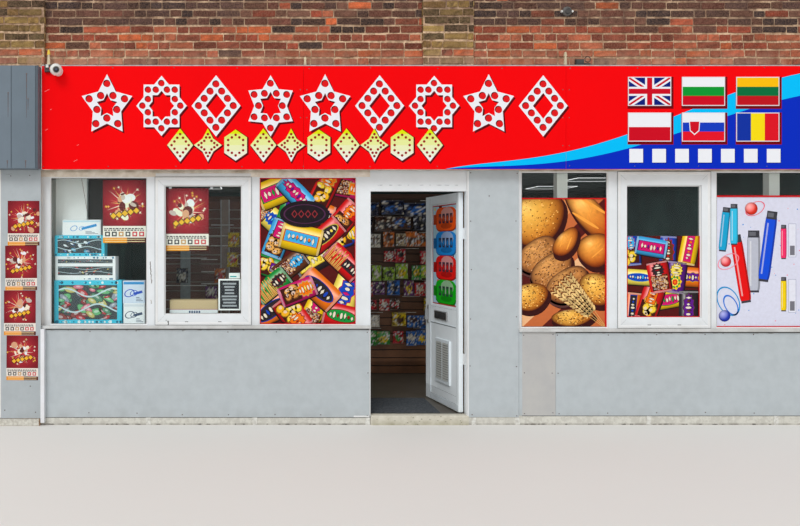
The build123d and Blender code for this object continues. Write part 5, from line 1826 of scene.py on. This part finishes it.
def make_roof():
    """Felt sheets with raised laps, a fillet at the parapet foot and mortar joints in the copings."""
    felt, joints = Shapes(), Shapes()
    deck = Board((0, 0, ROOF), (1, 0, 0), (0, 1, 0), (0, 0, 1))
    edges = np.linspace(-INSIDE, INSIDE, 9)
    for x0, x1 in zip(edges, edges[1:]):
        felt.block(deck, x0, x1, BACK_Y, REAR_INSIDE, -0.001, 0.003, (96, 98, 100))
    for x in edges[1:-1]:
        felt.block(deck, x - 0.05, x + 0.05, BACK_Y, REAR_INSIDE, 0.002, 0.0075, (84, 86, 88), slope=0.002)
    fillet = ((0.0, 0.0), (-0.14, 0.0), (-0.006, 0.14), (0.0, 0.14))
    felt.ring(deck, -INSIDE, INSIDE, BACK_Y, REAR_INSIDE, fillet, (90, 92, 94))
    felt.piece("roof_felt", "felt and joints", "roofing")
    low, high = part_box("parapet_copings")
    ease, tall = 0.015, high[2] - low[2]
    across = [side_board(x, 0, 1) for x in np.linspace(-high[0], high[0], 15)[1:-1]]
    length = [back_board(0, y) for y in np.linspace(BACK_Y, REAR_INSIDE, 11)[1:-1]]
    for y0, y1, boards in (
        (low[1], BACK_Y + 0.025, across), (REAR_INSIDE - 0.025, high[1], across),
        (INSIDE - 0.025, high[0], length), (-high[0], -INSIDE + 0.025, length),
    ):
        eased = tall - ease
        section = ((y0, 0), (y1, 0), (y1, eased), (y1 - ease, tall), (y0 + ease, tall), (y0, eased))
        middle = np.mean(section, 0)
        section = (section - middle) * (1 + 0.003 / (y1 - y0), 1.02) + middle
        for board in boards:
            joints.prism(board, section + (0, low[2]), -0.004, 0.004, (176, 160, 140))
    joints.piece("coping_joints", "felt and joints", "coping_stone")


def make_ceiling():
    """Bright outlines on the ceiling lights and a grid of tile joints between them."""
    low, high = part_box("ceiling_lights")
    under, tiles = down_board(low[2]), down_board(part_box("ceiling")[0][2])
    glow, plates, joint = Shapes(), Shapes(), (104, 108, 108)
    for row in range(3):
        for x in (low[0] + 0.3, high[0] - 0.3):
            spot = (x, -low[1] - 0.3 - 1.5 * row)
            outer, inner = (rectangle(-half, half, -half, half) + spot for half in (0.29, 0.278))
            glow.hoop(under, outer, inner, -0.002, 0.004, grey(1.0))
            plates.prism(under, inner, -0.002, 0.002, (140, 150, 150))
    glow.piece("light_outlines", "light glow", "light_diffuser")
    for x in np.arange(-3.6, 3.9, 0.6):
        plates.block(tiles, x - 0.012, x + 0.012, -REAR_INSIDE, -BACK_Y, -0.002, 0.004, joint)
    for y in np.arange(BACK_Y + 0.3, REAR_INSIDE, 0.6):
        plates.block(tiles, -INSIDE, INSIDE, -y - 0.012, -y + 0.012, -0.002, 0.005, joint)
    plates.piece("ceiling_grid", "dark rubber", "ceiling_board")


def make_lining():
    """Plaster on the inner faces of the walls in dark tones, painted shade for the dim inside of the shop,
    and a skirting along its foot.
    """
    lining = Shapes()
    floor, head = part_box("floor_slab")[1][2] + 0.0005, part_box("ceiling")[0][2] - 0.0005
    depth = REAR_INSIDE - BACK_Y
    for board, length in (
        (front_board(REAR_INSIDE, -INSIDE), 2 * INSIDE), (side_board(-INSIDE, BACK_Y, 1), depth),
        (side_board(INSIDE, REAR_INSIDE, -1), depth),
    ):
        # The dark lining colour is painted shade for the dim shop inside.
        lining.block(board, 0.001, length - 0.001, floor, head, -0.001, 0.006, (62, 90, 88))
        lining.block(board, 0.02, length - 0.02, floor, floor + 0.12, 0.005, 0.018, (40, 44, 42), slope=0.002)
    lining.piece("inner_plaster", "inner plaster", "ceiling_board")


make_fittings()
make_roof()
make_ceiling()
make_lining()


# Camera, light and ground
def stand(name, data, place=(0, 0, 0), turn=(0, 0, 0)):
    """A camera or lamp in the scene at a place, turned by angles about X, Y and Z."""
    made = bpy.data.objects.new(name, data)
    made.location, made.rotation_euler = place, turn
    bpy.context.scene.collection.objects.link(made)
    return made


def set_camera():
    """The photograph's level view, square to the front, from left of the door."""
    lens = bpy.data.cameras.new("street view")
    lens.lens, lens.shift_x, lens.shift_y, lens.clip_end = 37.7, 0.18125, -0.02125, 200
    beside, away, eye_height = -1.814, 7.91, 1.687
    place = (beside, WALL_Y - away, eye_height)
    bpy.context.scene.camera = stand("street view", lens, place, (math.pi / 2, 0, 0))


def set_light():
    """A pale even sky, a wide soft sun from the upper left of the street and two unseen lamps inside."""
    world = bpy.data.worlds.new("studio")
    bpy.context.scene.world = world
    world.use_nodes = True
    tree = world.node_tree
    tree.nodes.clear()
    path = node(tree, "LightPath").outputs
    seen = maths(tree, "MAXIMUM", path["Is Camera Ray"], path["Is Glossy Ray"])
    seen = maths(tree, "MAXIMUM", seen, path["Is Transmission Ray"])
    strength = node(tree, "MapRange", {"Value": seen, "To Min": 0.72, "To Max": 1.0}).outputs[0]
    sky = node(tree, "Background", {"Color": (1, 1, 1, 1), "Strength": strength}).outputs[0]
    node(tree, "OutputWorld", {"Surface": sky})
    sun = bpy.data.lights.new("sun", "SUN")
    sun.energy, sun.angle = 1.3, math.radians(25)
    stand("sun", sun, turn=(math.radians(48), 0, math.radians(-24)))
    ceiling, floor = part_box("ceiling_lights")[0][2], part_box("floor_slab")[1][2]
    for name, z, tilt, power in (
        ("shop light", ceiling - 0.03, 0, 50.0), ("light off the shop floor", floor + 0.15, math.pi, 30.0),
    ):
        wide = bpy.data.lights.new(name, "AREA")
        wide.shape, wide.energy = "RECTANGLE", power
        wide.size, wide.size_y = 2 * INSIDE - 0.6, REAR_INSIDE - BACK_Y - 0.6
        lamp = stand(name, wide, (0, (BACK_Y + REAR_INSIDE) / 2, z), (tilt, 0, 0))
        lamp.visible_camera = lamp.visible_glossy = lamp.visible_transmission = False


def set_ground():
    """A plain pale floor under the building."""
    finish("pale floor", "", (226, 224, 220), (222, 220, 216), 0.8, (0.5, 0.5, 0.3), relief=None)
    floor = bpy.data.meshes.new("ground")
    floor.from_pydata([(-60, -60, 0), (60, -60, 0), (60, 60, 0), (-60, 60, 0)], [], [(0, 1, 2, 3)])
    floor.materials.append(LOOKS["pale floor"])
    stand("ground", floor)


set_camera()
set_light()
set_ground()
bpy.context.scene.view_settings.view_transform = "Standard"
